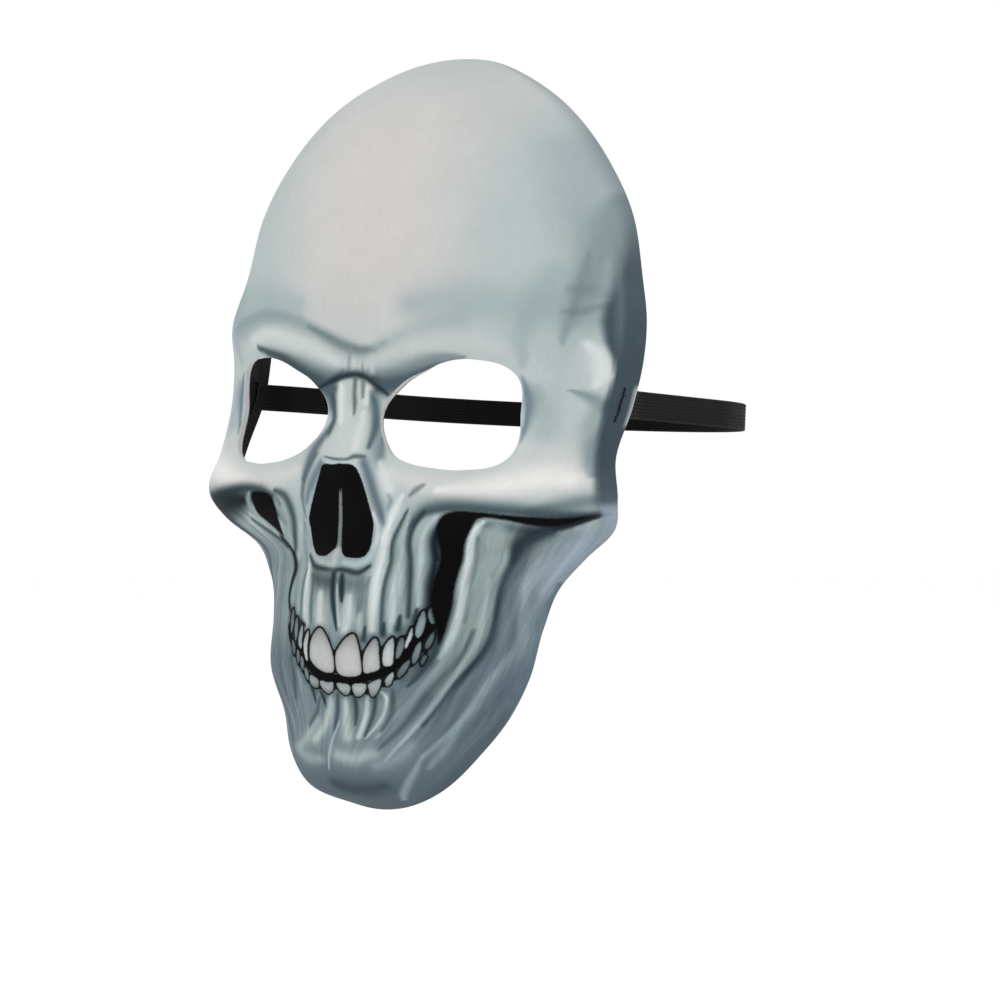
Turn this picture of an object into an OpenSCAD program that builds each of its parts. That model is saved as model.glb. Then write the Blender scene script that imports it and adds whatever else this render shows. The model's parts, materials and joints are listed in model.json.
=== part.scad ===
// Full-face skull mask. One moulded foam shell is laminated between a printed face cloth and
// a thin black lining. A flat elastic is sewn inside each temple and runs round the head.
// Millimetres. +Z is up, the face looks along -Y, and +X is the wearer's left. The origin is
// on the lining at the middle of the brow, where the shell rests on the wearer.

/* [Shell] */
// Height of the shell from crown to chin
shell_h = 273; // [240:1:290]
// Width of the shell across the cheekbones
shell_w = 182; // [160:1:190]
// Depth of the shell from the brow back to the edge at the crown
shell_d = 64; // [56:1:72]

/* [Laminate] */
// Thickness of the printed face cloth
cloth_t = 0.4; // [0.3:0.1:0.6]
// Thickness of the foam core
foam_t = 1.6; // [1:0.1:2.4]
// Thickness of the black lining
lining_t = 0.4; // [0.3:0.1:0.6]

/* [Eye holes] */
// Distance from the middle of the face to the middle of each eye hole
eye_x = 38.5; // [37:0.5:40]
// Height of the middle of the eye holes, measured from the brow
eye_z = -22.5; // [-24:0.5:-21]
// Share of the full opening that is cut out
eye_cut = 1; // [0.85:0.05:1]

/* [Elastic] */
// Width of the flat elastic
band_w = 10; // [8:1:12]
// Thickness of the elastic
band_t = 1.2; // [0.8:0.1:1.6]
// Height of the middle of the elastic where it leaves the shell
band_z = -19; // [-22:1:-16]
// Downward slope of the elastic towards the back of the head, in degrees
band_drop = 4; // [0:1:6]
// Distance from the brow back to the rear of the loop
loop_y = 184; // [170:1:200]
// Outer radius of the loop round the back of the head
loop_r = 77; // [72:1:77]
// Length of the elastic's end that lies inside the shell
tail_len = 14; // [12:1:18]

/* [Stitching] */
// Thickness of the thread
thread_d = 0.6; // [0.4:0.1:0.8]
// Length of one stitch
stitch_l = 2; // [1.6:0.2:2.4]
// Number of stitches in each seam
stitch_n = 6; // [4:1:6]

/* [Hidden] */

// Cross-sections of the outer face at the drawn size, from crown to chin: height above the
// brow, half width, depth of the edge, depth of the middle, and squareness of the curve
// between them (2 is an ellipse, more is boxier, less is pinched).
SECTIONS = [
    [107, 0, 64, 64, 2],
    [100, 27, 63, 33, 2],
    [87, 48, 62, 14, 2.05],
    [69, 65, 61, 2, 2.1],
    [48, 78, 59, -5, 2.1],
    [26, 85, 55, -6, 2.1],
    [10, 89, 52, -3, 2.35],
    [-4, 89, 50, 0, 2.45],
    [-20, 88, 45, -5, 2.3],
    [-38, 88, 35, -9, 2.2],
    [-52, 91, 32, -10, 2.3],
    [-63, 88, 34, -10, 1.9],
    [-73, 76, 34, -10, 1.5],
    [-83, 66, 33, -12, 1.7],
    [-98, 59, 32, -14, 1.85],
    [-116, 55, 29, -16, 2],
    [-131, 48, 26, -18, 1.75],
    [-145, 38, 21, -19, 1.9],
    [-157, 26, 17, -13, 2],
    [-163, 15, 15, 2, 2],
    [-166, 0, 14, 14, 2]
];

// Bumps and dents on both halves of the face: distance from the middle, height, half widths
// along X and Z, how far the bump stands out, and its rise along X.
RELIEF = [
    [40, 5, 30, 9, 4, 0.1],        // brow ridge
    [70, 2, 14, 10, 3, 0],         // outer end of the brow
    [9, -1, 7, 7, 1.5, 0],         // fold between the brows
    [52, -27, 20, 16, -7, 0],      // eye socket
    [14, -24, 8, 13, -3.5, 0],     // inner corner of the socket
    [0, -30, 7, 14, 2, 0],         // bridge of the nose
    [62, -53, 24, 6, 4, -0.1],     // cheekbone
    [50, -82, 16, 14, -4, 0],      // hollow of the cheek
    [0, -95, 26, 22, 2, 0]         // upper jaw
];

// Radius of the eye hole every 30 degrees, from its outer side round over the top.
EYE_RADII = [26.2, 28.4, 22.3, 18.5, 17.5, 21, 26, 23.5, 19.5, 18.5, 21.8, 28.8];

// Scale of the driving sizes against the drawn ones
scale_x = shell_w / 182;
scale_y = shell_d / 64;
scale_z = shell_h / 273;
half_h = shell_h / 2;
z_mid = -29.5 * scale_z;
shell_t = cloth_t + foam_t + lining_t;

// Grid of the shell: rows from crown to chin, and columns from the middle to each edge. The
// block of cells between the eye columns and rows is left out as the eye hole.
rows = 52;
cols = 15;
eye_cols = [1, 8];
eye_rows = [23, 28];
eye_fade = 2.6;
row_len = 2 * cols + 1;
sheet_size = 2 + (rows - 1) * row_len;

// Running gap between the pieces of elastic that move on each other
run_gap = 0.4;
// How far behind the shell's edge the elastic hinges
hinge_back = 3;

// Latitude of a height, 0 at the crown and 180 at the chin, and the height of a latitude
function latitude(z) = acos(max(-1, min(1, (z - z_mid) / half_h)));
function height(lat) = z_mid + half_h * cos(lat);

SECTION_LAT = [for (s = SECTIONS) latitude(s[0] * scale_z)];
last_section = len(SECTIONS) - 1;

function rise(i, k) =
    (SECTIONS[i + 1][k] - SECTIONS[i][k]) / (SECTION_LAT[i + 1] - SECTION_LAT[i]);

function section_slope(i, k) =
    i == 0 ? rise(0, k)
    : i == last_section ? rise(last_section - 1, k)
    : let (before = SECTION_LAT[i] - SECTION_LAT[i - 1], after = SECTION_LAT[i + 1] - SECTION_LAT[i])
      (rise(i - 1, k) * after + rise(i, k) * before) / (before + after);

SECTION_SLOPE = [for (i = [0:last_section]) [for (k = [0:4]) section_slope(i, k)]];

function section_index(lat, i = 0) =
    i >= last_section - 1 || lat < SECTION_LAT[i + 1] ? i : section_index(lat, i + 1);

function hermite(a, b, slope_a, slope_b, span, s) =
    a * (2 * s ^ 3 - 3 * s ^ 2 + 1) + slope_a * span * (s ^ 3 - 2 * s ^ 2 + s)
    + b * (3 * s ^ 2 - 2 * s ^ 3) + slope_b * span * (s ^ 3 - s ^ 2);

function section_value(i, s, k) =
    hermite(SECTIONS[i][k], SECTIONS[i + 1][k], SECTION_SLOPE[i][k], SECTION_SLOPE[i + 1][k],
            SECTION_LAT[i + 1] - SECTION_LAT[i], s);

// Half width, edge depth, middle depth and squareness of the face at a latitude
function section(lat) =
    let (i = section_index(lat))
    let (s = (lat - SECTION_LAT[i]) / (SECTION_LAT[i + 1] - SECTION_LAT[i]))
    [
        section_value(i, s, 1) * scale_x,
        section_value(i, s, 2) * scale_y - shell_t,
        section_value(i, s, 3) * scale_y - shell_t,
        section_value(i, s, 4)
    ];

function bump(b, x, z) =
    b[4] * exp(-((x - b[0]) / b[2]) ^ 2 - ((z - b[1] - b[5] * (x - b[0])) / b[3]) ^ 2);

function relief(x, z) =
    scale_y * [for (b = RELIEF) bump(b, abs(x) / scale_x, z / scale_z)] * [for (b = RELIEF) 1];

// Point of the outer face at a sweep (0 in the middle, 90 at the edge) and a latitude
function face_point(sweep, lat) =
    let (s = section(lat), g = abs(sin(sweep)), z = height(lat), x = s[0] * sin(sweep))
    let (front = max(0, 1 - g ^ s[3]) ^ (1 / s[3]))
    [x, s[1] - (s[1] - s[2]) * front - relief(x, z) * (1 - g ^ 6), z];

// Outward unit normal of the face, from small steps either way
function face_normal(sweep, lat) =
    let (l = max(3, min(177, lat)), w = min(sweep, 88.5))
    let (across = face_point(w + 1.5, l) - face_point(w - 1.5, l))
    let (along = face_point(sweep, l - 1) - face_point(sweep, l + 1))
    let (n = cross(across, along))
    n / norm(n);

// Eye hole outline about its middle: radius at an angle from +X
function eye_radius(angle) =
    let (turn = (angle + 360) % 360 / 30, k = floor(turn), s = turn - k, n = len(EYE_RADII))
    let (a = EYE_RADII[(k + n - 1) % n], b = EYE_RADII[k % n])
    let (c = EYE_RADII[(k + 1) % n], d = EYE_RADII[(k + 2) % n])
    eye_cut * (b + (c - a) * s / 2 + (a - 2.5 * b + 2 * c - d / 2) * s ^ 2
               + (d - a + 3 * (b - c)) * s ^ 3 / 2);

// X and Z of an unshifted grid corner, where i and j may lie between corners
function grid_xz(i, j) =
    let (lat = 180 * j / rows)
    [section(lat)[0] * sin(90 * i / cols), height(lat)];

// Move that carries a corner of the eye block onto the eye outline
function eye_shift(i, j) =
    let (at = grid_xz(i, j), mid = [eye_x * scale_x, eye_z * scale_z])
    let (angle = atan2(at[1] - mid[1], at[0] - mid[0]), r = eye_radius(angle))
    mid + [r * scale_x * cos(angle), r * scale_z * sin(angle)] - at;

// X and Z of a grid corner. Corners round the eye block follow its shift, fading with distance.
function corner_xz(i, j) =
    let (ci = (eye_cols[0] + eye_cols[1]) / 2, cj = (eye_rows[0] + eye_rows[1]) / 2)
    let (p = (i - ci) / (eye_cols[1] - ci), q = (j - cj) / (eye_rows[1] - cj))
    let (far = max(abs(p), abs(q), 1), s = min(1, (far - 1) / (eye_fade - 1)))
    let (fade = 1 - s * s * (3 - 2 * s))
    let (shift = eye_shift(ci + (i - ci) / far, cj + (j - cj) / far))
    grid_xz(i, j) + (fade > 0 ? fade * [i == 0 ? 0 : shift[0], shift[1]] : [0, 0]);

// Sweep and latitude of a grid corner
function corner_angles(i, j) =
    let (at = corner_xz(i, j), lat = latitude(at[1]))
    [i == cols ? 90 : asin(min(1, at[0] / section(lat)[0])), lat];

// Outer point and normal of the right half-row of the grid, from the middle to the edge
function half_row(j) =
    [for (i = [0:cols]) let (a = corner_angles(i, j)) [face_point(a[0], a[1]), face_normal(a[0], a[1])]];

function mirrored(v) = [-v[0], v[1], v[2]];

// A whole row, from the wearer's right edge to the left edge
function full_row(half) = [
    for (i = [-cols:cols])
        i < 0 ? [mirrored(half[-i][0]), mirrored(half[-i][1])]
        : i == 0 ? [[0, half[0][0][1], half[0][0][2]], half[0][1]]
        : half[i]
];

SHEET = [
    [face_point(0, 0), face_normal(0, 0)],
    [face_point(0, 180), face_normal(0, 180)],
    for (j = [1:rows - 1]) each full_row(half_row(j))
];

// Corners of the sheet at a depth below the outer face
function sheet_points(depth) = [for (v = SHEET) v[0] - depth * v[1]];

function corner_id(i, j) =
    j == 0 ? 0 : j == rows ? 1 : 2 + (j - 1) * row_len + i + cols;

function in_eye(i, j) =
    let (k = i < 0 ? -i - 1 : i)
    k >= eye_cols[0] && k < eye_cols[1] && j >= eye_rows[0] && j < eye_rows[1];

// Two triangles of a grid cell, one at the crown and chin. Each half is the other's mirror.
function cell_faces(i, j) =
    let (a = corner_id(i, j), b = corner_id(i + 1, j), c = corner_id(i + 1, j + 1), d = corner_id(i, j + 1))
    j == 0 ? [[a, c, d]]
    : j == rows - 1 ? [[a, b, c]]
    : i < 0 ? [[a, b, c], [a, c, d]] : [[a, b, d], [b, c, d]];

SHEET_FACES = [
    for (j = [0:rows - 1], i = [-cols:cols - 1])
        if (!in_eye(i, j)) each cell_faces(i, j)
];

// Closed walks round the open edges of the sheet, with the sheet always on the same side
RIM_WALK = concat(
    [for (j = [0:rows - 1]) corner_id(cols, j)],
    [for (j = [rows:-1:1]) corner_id(-cols, j)]
);

function eye_walk(side) = concat(
    [for (i = [eye_cols[0]:eye_cols[1] - 1]) corner_id(side * i, eye_rows[0])],
    [for (j = [eye_rows[0]:eye_rows[1] - 1]) corner_id(side * eye_cols[1], j)],
    [for (i = [eye_cols[1]:-1:eye_cols[0] + 1]) corner_id(side * i, eye_rows[1])],
    [for (j = [eye_rows[1]:-1:eye_rows[0] + 1]) corner_id(side * eye_cols[0], j)]
);

function reversed(walk) = [for (k = [len(walk) - 1:-1:0]) walk[k]];

// Edge wall between the outer and the inner sheet along a walk
function wall_faces(walk) = [
    for (k = [0:len(walk) - 1])
        let (a = walk[k], b = walk[(k + 1) % len(walk)])
        each [[b, a, a + sheet_size], [b, a + sheet_size, b + sheet_size]]
];

// Closed sheet of material between two depths below the outer face
module shell_layer(outer_depth, inner_depth) {
    inner_faces = [for (f = SHEET_FACES) [f[2] + sheet_size, f[1] + sheet_size, f[0] + sheet_size]];
    walls = concat(wall_faces(RIM_WALK), wall_faces(reversed(eye_walk(1))), wall_faces(eye_walk(-1)));
    polyhedron(
        points = concat(sheet_points(outer_depth), sheet_points(inner_depth)),
        faces = concat(SHEET_FACES, inner_faces, walls)
    );
}

module printed_face() {
    color([0.7, 0.76, 0.76]) shell_layer(0, cloth_t);
}

module foam_core() {
    color([0.88, 0.88, 0.86]) shell_layer(cloth_t, cloth_t + foam_t);
}

module inner_lining() {
    color([0.05, 0.05, 0.06]) shell_layer(cloth_t + foam_t, shell_t);
}

// Half width of the outer face beside the temple at a depth and height. Behind the edge it
// carries straight on, so that the elastic can follow it out of the shell.
function temple_x(y, z) =
    let (s = section(latitude(z)), q = max(0, s[1] - y) / (s[1] - s[2]))
    s[0] * (1 - q ^ s[3]) ^ (1 / s[3]);

band_edge_y = section(latitude(band_z))[1];
hinge_y = band_edge_y + hinge_back;
hinge_z = band_z;
tail_steps = 6;
tail_y0 = band_edge_y - tail_len;

// Middle height of the elastic at a distance behind the brow
function band_mid_z(y) = band_z - (y - hinge_y) * tan(band_drop);

// Closed strip over a grid of outer points and a matching grid of inner points
module strip(outer, inner) {
    n = len(outer);
    m = len(outer[0]);
    size = n * m;
    points = concat([for (r = outer) each r], [for (r = inner) each r]);
    faces = concat(
        [for (i = [0:n - 2], k = [0:m - 2])
            each [[i * m + k, i * m + k + 1, (i + 1) * m + k],
                  [i * m + k + 1, (i + 1) * m + k + 1, (i + 1) * m + k]]],
        [for (i = [0:n - 2], k = [0:m - 2])
            each [[size + (i + 1) * m + k, size + i * m + k + 1, size + i * m + k],
                  [size + (i + 1) * m + k, size + (i + 1) * m + k + 1, size + i * m + k + 1]]],
        [for (i = [0:n - 2])
            each [[i * m, (i + 1) * m, size + i * m],
                  [(i + 1) * m, size + (i + 1) * m, size + i * m],
                  [(i + 1) * m + m - 1, i * m + m - 1, size + i * m + m - 1],
                  [size + (i + 1) * m + m - 1, (i + 1) * m + m - 1, size + i * m + m - 1]]],
        [for (k = [0:m - 2])
            each [[k + 1, k, size + k],
                  [k + 1, size + k, size + k + 1],
                  [(n - 1) * m + k, (n - 1) * m + k + 1, size + (n - 1) * m + k],
                  [(n - 1) * m + k + 1, size + (n - 1) * m + k + 1, size + (n - 1) * m + k]]]
    );
    polyhedron(points = points, faces = faces);
}

// Sewn end of the elastic on the wearer's left: flat against the lining, out past the edge
module tail() {
    ys = [for (k = [0:tail_steps]) tail_y0 + k * (hinge_y + band_w / 2 - tail_y0) / tail_steps];
    zs = [for (k = [0:4]) (k / 4 - 0.5) * band_w];
    strip(
        [for (y = ys) [for (v = zs) [temple_x(y, band_mid_z(y) + v) - shell_t, y, band_mid_z(y) + v]]],
        [for (y = ys) [for (v = zs) [temple_x(y, band_mid_z(y) + v) - shell_t - band_t, y, band_mid_z(y) + v]]]
    );
}

module left_strap_tail() {
    color([0.06, 0.06, 0.07]) tail();
}

module right_strap_tail() {
    color([0.06, 0.06, 0.07]) mirror([1, 0, 0]) tail();
}

// Frame of the loop: its origin is on the hinge line through both sewn ends, and its Y axis
// points along the elastic
module loop_frame() {
    translate([0, hinge_y, hinge_z]) rotate([-band_drop, 0, 0]) children();
}

loop_len = (loop_y - hinge_y) / cos(band_drop);
loop_mid = loop_len - loop_r;

// The side runs start inboard of the tails and meet the round of the head on a tangent
start_x = temple_x(hinge_y, band_z) - shell_t - band_t - 2 * run_gap;
start_r = norm([start_x, loop_mid]);
meet_angle = acos(loop_r / start_r) - atan2(loop_mid, start_x);
run_len = sqrt(start_r ^ 2 - loop_r ^ 2);
gap_angle = run_gap / loop_r * 180 / PI;

// Straight run on the wearer's left, round at the end that turns on the hinge line
module side_run() {
    loop_frame() translate([start_x, 0, 0]) rotate([0, 0, meet_angle]) union() {
        translate([-band_t, 0, -band_w / 2]) cube([band_t, run_len, band_w]);
        rotate([0, -90, 0]) cylinder(h = band_t, r = band_w / 2, $fn = 48);
    }
}

module left_strap_side() {
    color([0.06, 0.06, 0.07]) side_run();
}

module right_strap_side() {
    color([0.06, 0.06, 0.07]) mirror([1, 0, 0]) side_run();
}

module strap_back() {
    color([0.06, 0.06, 0.07]) loop_frame() translate([0, loop_mid, 0])
        rotate([0, 0, meet_angle + gap_angle])
        rotate_extrude(angle = 180 - 2 * (meet_angle + gap_angle), $fn = 96)
        translate([loop_r - band_t, -band_w / 2]) square([band_t, band_w]);
}

// Distance from the shell's edge forward to the seam, and the drawn shape of one stitch
seam_in = 7.5;
thread_r = thread_d / 2;
thread_sink = 0.1;
stitch_gap = 0.1;
stitch_sides = 8;
corner_r = thread_d;

function seam_y(z) = section(latitude(z))[1] - seam_in;

// Middle line of one stitch: a rounded rectangle through cloth, foam, lining and elastic
function stitch_path(z0, z1) =
    let (y = seam_y((z0 + z1) / 2), x = temple_x(y, (z0 + z1) / 2))
    let (out = x + thread_r - thread_sink, inn = x - shell_t - band_t - thread_r + thread_sink)
    let (corners = [[out - corner_r, z1 - corner_r, 0], [inn + corner_r, z1 - corner_r, 90],
                    [inn + corner_r, z0 + corner_r, 180], [out - corner_r, z0 + corner_r, 270]])
    [for (c = corners, turn = [0, 45, 90])
        let (a = c[2] + turn)
        [c[0] + corner_r * cos(a), seam_y(c[1]), c[1] + corner_r * sin(a), a]];

// One closed loop of thread swept along its middle line
module stitch(z0, z1) {
    path = stitch_path(z0, z1);
    n = len(path);
    k = stitch_sides;
    points = [
        for (p = path, s = [0:k - 1])
            let (a = 360 * s / k)
            [p[0] + thread_r * cos(a) * cos(p[3]), p[1] + thread_r * sin(a),
             p[2] + thread_r * cos(a) * sin(p[3])]
    ];
    faces = [
        for (i = [0:n - 1], s = [0:k - 1])
            let (a = i * k + s, b = i * k + (s + 1) % k)
            let (c = (i + 1) % n * k + (s + 1) % k, d = (i + 1) % n * k + s)
            each [[a, c, b], [a, d, c]]
    ];
    polyhedron(points = points, faces = faces);
}

module seam() {
    top = band_z + stitch_n * stitch_l / 2;
    for (k = [0:stitch_n - 1]) {
        z1 = top - k * stitch_l - thread_r - stitch_gap / 2;
        z0 = top - (k + 1) * stitch_l + thread_r + stitch_gap / 2;
        stitch(z0, z1);
    }
}

module left_stitching() {
    color([0.03, 0.03, 0.04]) seam();
}

module right_stitching() {
    color([0.03, 0.03, 0.04]) mirror([1, 0, 0]) seam();
}

printed_face();
foam_core();
inner_lining();
left_strap_tail();
right_strap_tail();
left_strap_side();
right_strap_side();
strap_back();
left_stitching();
right_stitching();
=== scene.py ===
"""Skull face mask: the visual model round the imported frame.

Metres, +Z up; the face looks along -Y and +X is the wearer's left. The shell's surface follows
the same sections and bumps as the CAD part, drawn finer. Its print is painted in code, from
washes, brush strokes and outlines in mm on the face.
"""
import json
import math

import bpy
import numpy as np
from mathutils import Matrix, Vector


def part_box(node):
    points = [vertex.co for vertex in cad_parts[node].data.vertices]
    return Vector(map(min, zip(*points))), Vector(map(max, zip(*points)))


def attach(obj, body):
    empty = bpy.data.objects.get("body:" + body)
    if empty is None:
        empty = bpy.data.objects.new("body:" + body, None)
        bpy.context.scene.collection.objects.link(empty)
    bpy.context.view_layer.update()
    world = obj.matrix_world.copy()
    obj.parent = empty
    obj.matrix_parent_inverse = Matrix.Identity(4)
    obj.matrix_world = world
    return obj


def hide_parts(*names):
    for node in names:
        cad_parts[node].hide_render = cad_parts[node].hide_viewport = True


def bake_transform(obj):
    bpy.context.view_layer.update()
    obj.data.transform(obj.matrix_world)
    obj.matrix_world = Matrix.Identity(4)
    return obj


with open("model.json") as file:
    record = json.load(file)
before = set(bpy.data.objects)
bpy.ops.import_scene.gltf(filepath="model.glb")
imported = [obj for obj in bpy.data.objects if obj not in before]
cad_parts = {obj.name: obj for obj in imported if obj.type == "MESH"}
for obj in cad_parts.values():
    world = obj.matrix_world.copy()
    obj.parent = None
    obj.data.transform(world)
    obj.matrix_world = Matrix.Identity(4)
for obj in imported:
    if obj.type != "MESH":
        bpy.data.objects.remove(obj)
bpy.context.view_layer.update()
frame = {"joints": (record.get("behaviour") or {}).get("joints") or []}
MM = 0.001
JOINTS = {joint["name"]: joint for joint in frame["joints"]}

# ---------------------------------------------------------------- laminate and shell, in mm
CLOTH_T, FOAM_T, LINING_T = 0.4, 1.6, 0.4
SHELL_T = CLOTH_T + FOAM_T + LINING_T
FACE_LOW, FACE_HIGH = (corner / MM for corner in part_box("printed_face"))
HALF_H = (FACE_HIGH.z - FACE_LOW.z) / 2
Z_MID = (FACE_HIGH.z + FACE_LOW.z) / 2

# Height, half width, depth of the edge, depth of the middle, squareness
SECTIONS = np.array([
    [107, 0, 64, 64, 2], [100, 27, 63, 33, 2], [87, 48, 62, 14, 2.05], [69, 65, 61, 2, 2.1],
    [48, 78, 59, -5, 2.1], [26, 85, 55, -6, 2.1], [10, 89, 52, -3, 2.35], [-4, 89, 50, 0, 2.45],
    [-20, 88, 45, -5, 2.3], [-38, 88, 35, -9, 2.2], [-52, 91, 32, -10, 2.3],
    [-63, 88, 34, -10, 1.9], [-73, 76, 34, -10, 1.5], [-83, 66, 33, -12, 1.7],
    [-98, 59, 32, -14, 1.85], [-116, 55, 29, -16, 2], [-131, 48, 26, -18, 1.75],
    [-145, 38, 21, -19, 1.9], [-157, 26, 17, -13, 2], [-163, 15, 15, 2, 2], [-166, 0, 14, 14, 2],
], float)
# Distance from the middle, height, half widths along X and Z, rise, tilt
RELIEF = [
    (40, 5, 30, 9, 4, 0.1), (70, 2, 14, 10, 3, 0), (9, -1, 7, 7, 1.5, 0), (52, -27, 20, 16, -7, 0),
    (14, -24, 8, 13, -3.5, 0), (0, -30, 7, 14, 2, 0), (62, -53, 24, 6, 4, -0.1), (50, -82, 16, 14, -4, 0),
    (0, -95, 26, 22, 2, 0),
]
EYE_MID = (38.5, -22.5)
EYE_RADII = np.array([26.2, 28.4, 22.3, 18.5, 17.5, 21, 26, 23.5, 19.5, 18.5, 21.8, 28.8])
# Coarse grid of the CAD shell, on which the eye block and its fade are defined
ROWS, COLS = 52, 15
EYE_COLS, EYE_ROWS, EYE_FADE = (1, 8), (23, 28), 2.6


# ---------------------------------------------------------------- curves and directions
def hermite(start, end, leave, arrive, s):
    """Cubic from start to end with the given slopes at its two ends, for s from 0 to 1."""
    return (start * (2 * s**3 - 3 * s**2 + 1) + leave * (s**3 - 2 * s**2 + s)
            + end * (3 * s**2 - 2 * s**3) + arrive * (s**3 - s**2))


def catmull_rom(a, b, c, d, s):
    """Smooth curve from b to c, shaped by their neighbours a and d, for s from 0 to 1."""
    return 0.5 * (2 * b + (c - a) * s + (2 * a - 5 * b + 4 * c - d) * s**2 + (3 * (b - c) + d - a) * s**3)


def smooth(low, high, value):
    """0 below low, 1 above high, smooth between; low may be above high."""
    t = np.clip((value - low) / (high - low), 0, 1)
    return t * t * (3 - 2 * t)


def unit(vectors):
    """The same directions at length 1."""
    return vectors / np.linalg.norm(vectors, axis=-1, keepdims=True)


# ---------------------------------------------------------------- surface of the face
def latitude(z):
    """Latitude of a height in degrees, 0 at the crown and 180 at the chin."""
    return np.degrees(np.arccos(np.clip((z - Z_MID) / HALF_H, -1, 1)))


SECTION_LAT = latitude(SECTIONS[:, 0])


def section_slopes():
    """Slope of every section value over latitude, weighted by the nearer neighbour."""
    step = np.diff(SECTION_LAT)[:, None]
    rise = np.diff(SECTIONS, axis=0) / step
    inner = (rise[:-1] * step[1:] + rise[1:] * step[:-1]) / (step[:-1] + step[1:])
    return np.vstack([rise[:1], inner, rise[-1:]])


SECTION_SLOPE = section_slopes()


def section(lat):
    """Half width, edge depth, middle depth and squareness at a latitude."""
    i = np.clip(np.searchsorted(SECTION_LAT, lat, side="right") - 1, 0, len(SECTION_LAT) - 2)
    span = SECTION_LAT[i + 1] - SECTION_LAT[i]
    s = (lat - SECTION_LAT[i]) / span
    half, edge, middle, square = (
        hermite(SECTIONS[i, k], SECTIONS[i + 1, k], SECTION_SLOPE[i, k] * span,
                SECTION_SLOPE[i + 1, k] * span, s) for k in range(1, 5))
    return half, edge - SHELL_T, middle - SHELL_T, square


def relief(x, z):
    """How far the bumps and dents stand out at a place on the face."""
    x = np.abs(x)
    return sum(rise * np.exp(-((x - bx) / rx) ** 2 - ((z - bz - tilt * (x - bx)) / rz) ** 2)
               for bx, bz, rx, rz, rise, tilt in RELIEF)


def face_point(sweep, lat):
    """Point of the outer face at a sweep (0 in the middle, 90 at the edge) and a latitude."""
    half, edge, middle, square = section(lat)
    g = np.abs(np.sin(np.radians(sweep)))
    front = np.maximum(0, 1 - g**square) ** (1 / square)
    x = half * np.sin(np.radians(sweep))
    z = Z_MID + HALF_H * np.cos(np.radians(lat))
    y = edge - (edge - middle) * front - relief(x, z) * (1 - g**6)
    return np.stack([x, y, z], axis=-1)


def face_normal(sweep, lat):
    """Outward unit normal of the face, from small steps either way that stay on the surface."""
    turn, rise = 1.5, 1
    lat = np.clip(lat, 3 * rise, 180 - 3 * rise)
    sweep = np.clip(sweep, turn - 90, 90 - turn)
    across = face_point(sweep + turn, lat) - face_point(sweep - turn, lat)
    along = face_point(sweep, lat - rise) - face_point(sweep, lat + rise)
    return unit(np.cross(across, along))


def eye_radius(angle):
    """Radius of the eye outline at an angle from +X, smooth through its radii."""
    turn = np.mod(angle, 360) * len(EYE_RADII) / 360
    k = np.floor(turn).astype(int)
    around = (EYE_RADII[(k + step) % len(EYE_RADII)] for step in (-1, 0, 1, 2))
    return catmull_rom(*around, turn - k)


def grid_xz(i, j):
    """X and Z of an unshifted grid place."""
    lat = 180 * j / ROWS
    half = section(lat)[0]
    return half * np.sin(np.radians(90 * i / COLS)), Z_MID + HALF_H * np.cos(np.radians(lat))


def shifted_xz(i, j):
    """X and Z of a grid place on the +X half, after the pull of the eye outline."""
    mid_i, mid_j = np.mean(EYE_COLS), np.mean(EYE_ROWS)
    p = (i - mid_i) / (EYE_COLS[1] - mid_i)
    q = (j - mid_j) / (EYE_ROWS[1] - mid_j)
    far = np.maximum(np.maximum(np.abs(p), np.abs(q)), 1)
    fade = smooth(EYE_FADE, 1, far)
    bx, bz = grid_xz(mid_i + (i - mid_i) / far, mid_j + (j - mid_j) / far)
    angle = np.arctan2(bz - EYE_MID[1], bx - EYE_MID[0])
    r = eye_radius(np.degrees(angle))
    x, z = grid_xz(i, j)
    return (x + fade * (EYE_MID[0] + r * np.cos(angle) - bx),
            z + fade * (EYE_MID[1] + r * np.sin(angle) - bz))


def grid_angles(i, j):
    """Sweep and latitude of a grid place, either half; the middle column stays at X 0."""
    side = np.sign(i)
    i = np.abs(i)
    first = np.maximum(i, 1)
    x, z = shifted_xz(first, j)
    middle_z = shifted_xz(np.zeros_like(i), j)[1]
    near = np.minimum(i, 1)
    x, z = x * near, middle_z + (z - middle_z) * near
    lat = latitude(z)
    ratio = np.where(i >= COLS, 1, np.minimum(1, x / np.maximum(section(lat)[0], 1e-6)))
    return side * np.degrees(np.arcsin(ratio)), lat


# ---------------------------------------------------------------- mesh helpers
def add_object(name, data):
    """A new object in the scene."""
    made = bpy.data.objects.new(name, data)
    bpy.context.scene.collection.objects.link(made)
    return made


def mesh_object(name, points, faces):
    """A smooth mesh object from points in mm."""
    mesh = bpy.data.meshes.new(name)
    mesh.from_pydata([tuple(p) for p in np.asarray(points) * MM], [], faces)
    mesh.update()
    mesh.polygons.foreach_set("use_smooth", [True] * len(mesh.polygons))
    return add_object(name, mesh)


def add_values(made, name, values):
    """A value, or a linear colour, for each of the mesh's points."""
    values = np.asarray(values, np.float32)
    if values.ndim == 1:
        made.data.attributes.new(name, "FLOAT", "POINT").data.foreach_set("value", values)
        return
    opaque = np.ones((len(values), 4), np.float32)
    opaque[:, :3] = values
    made.data.attributes.new(name, "FLOAT_COLOR", "POINT").data.foreach_set("color", opaque.ravel())


def mark_sharp(made, crisp):
    """Sharp edges between the given pairs of points, so that their corners stay crisp."""
    flags = [frozenset(edge.vertices) in crisp for edge in made.data.edges]
    made.data.attributes.new("sharp_edge", "BOOLEAN", "EDGE").data.foreach_set("value", flags)


# ---------------------------------------------------------------- print, in mm on the face
def linear(srgb):
    """Linear colour of an sRGB colour given from 0 to 255."""
    c = np.asarray(srgb, float) / 255
    return np.where(c <= 0.04045, c / 12.92, ((c + 0.055) / 1.055) ** 2.4)


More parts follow.
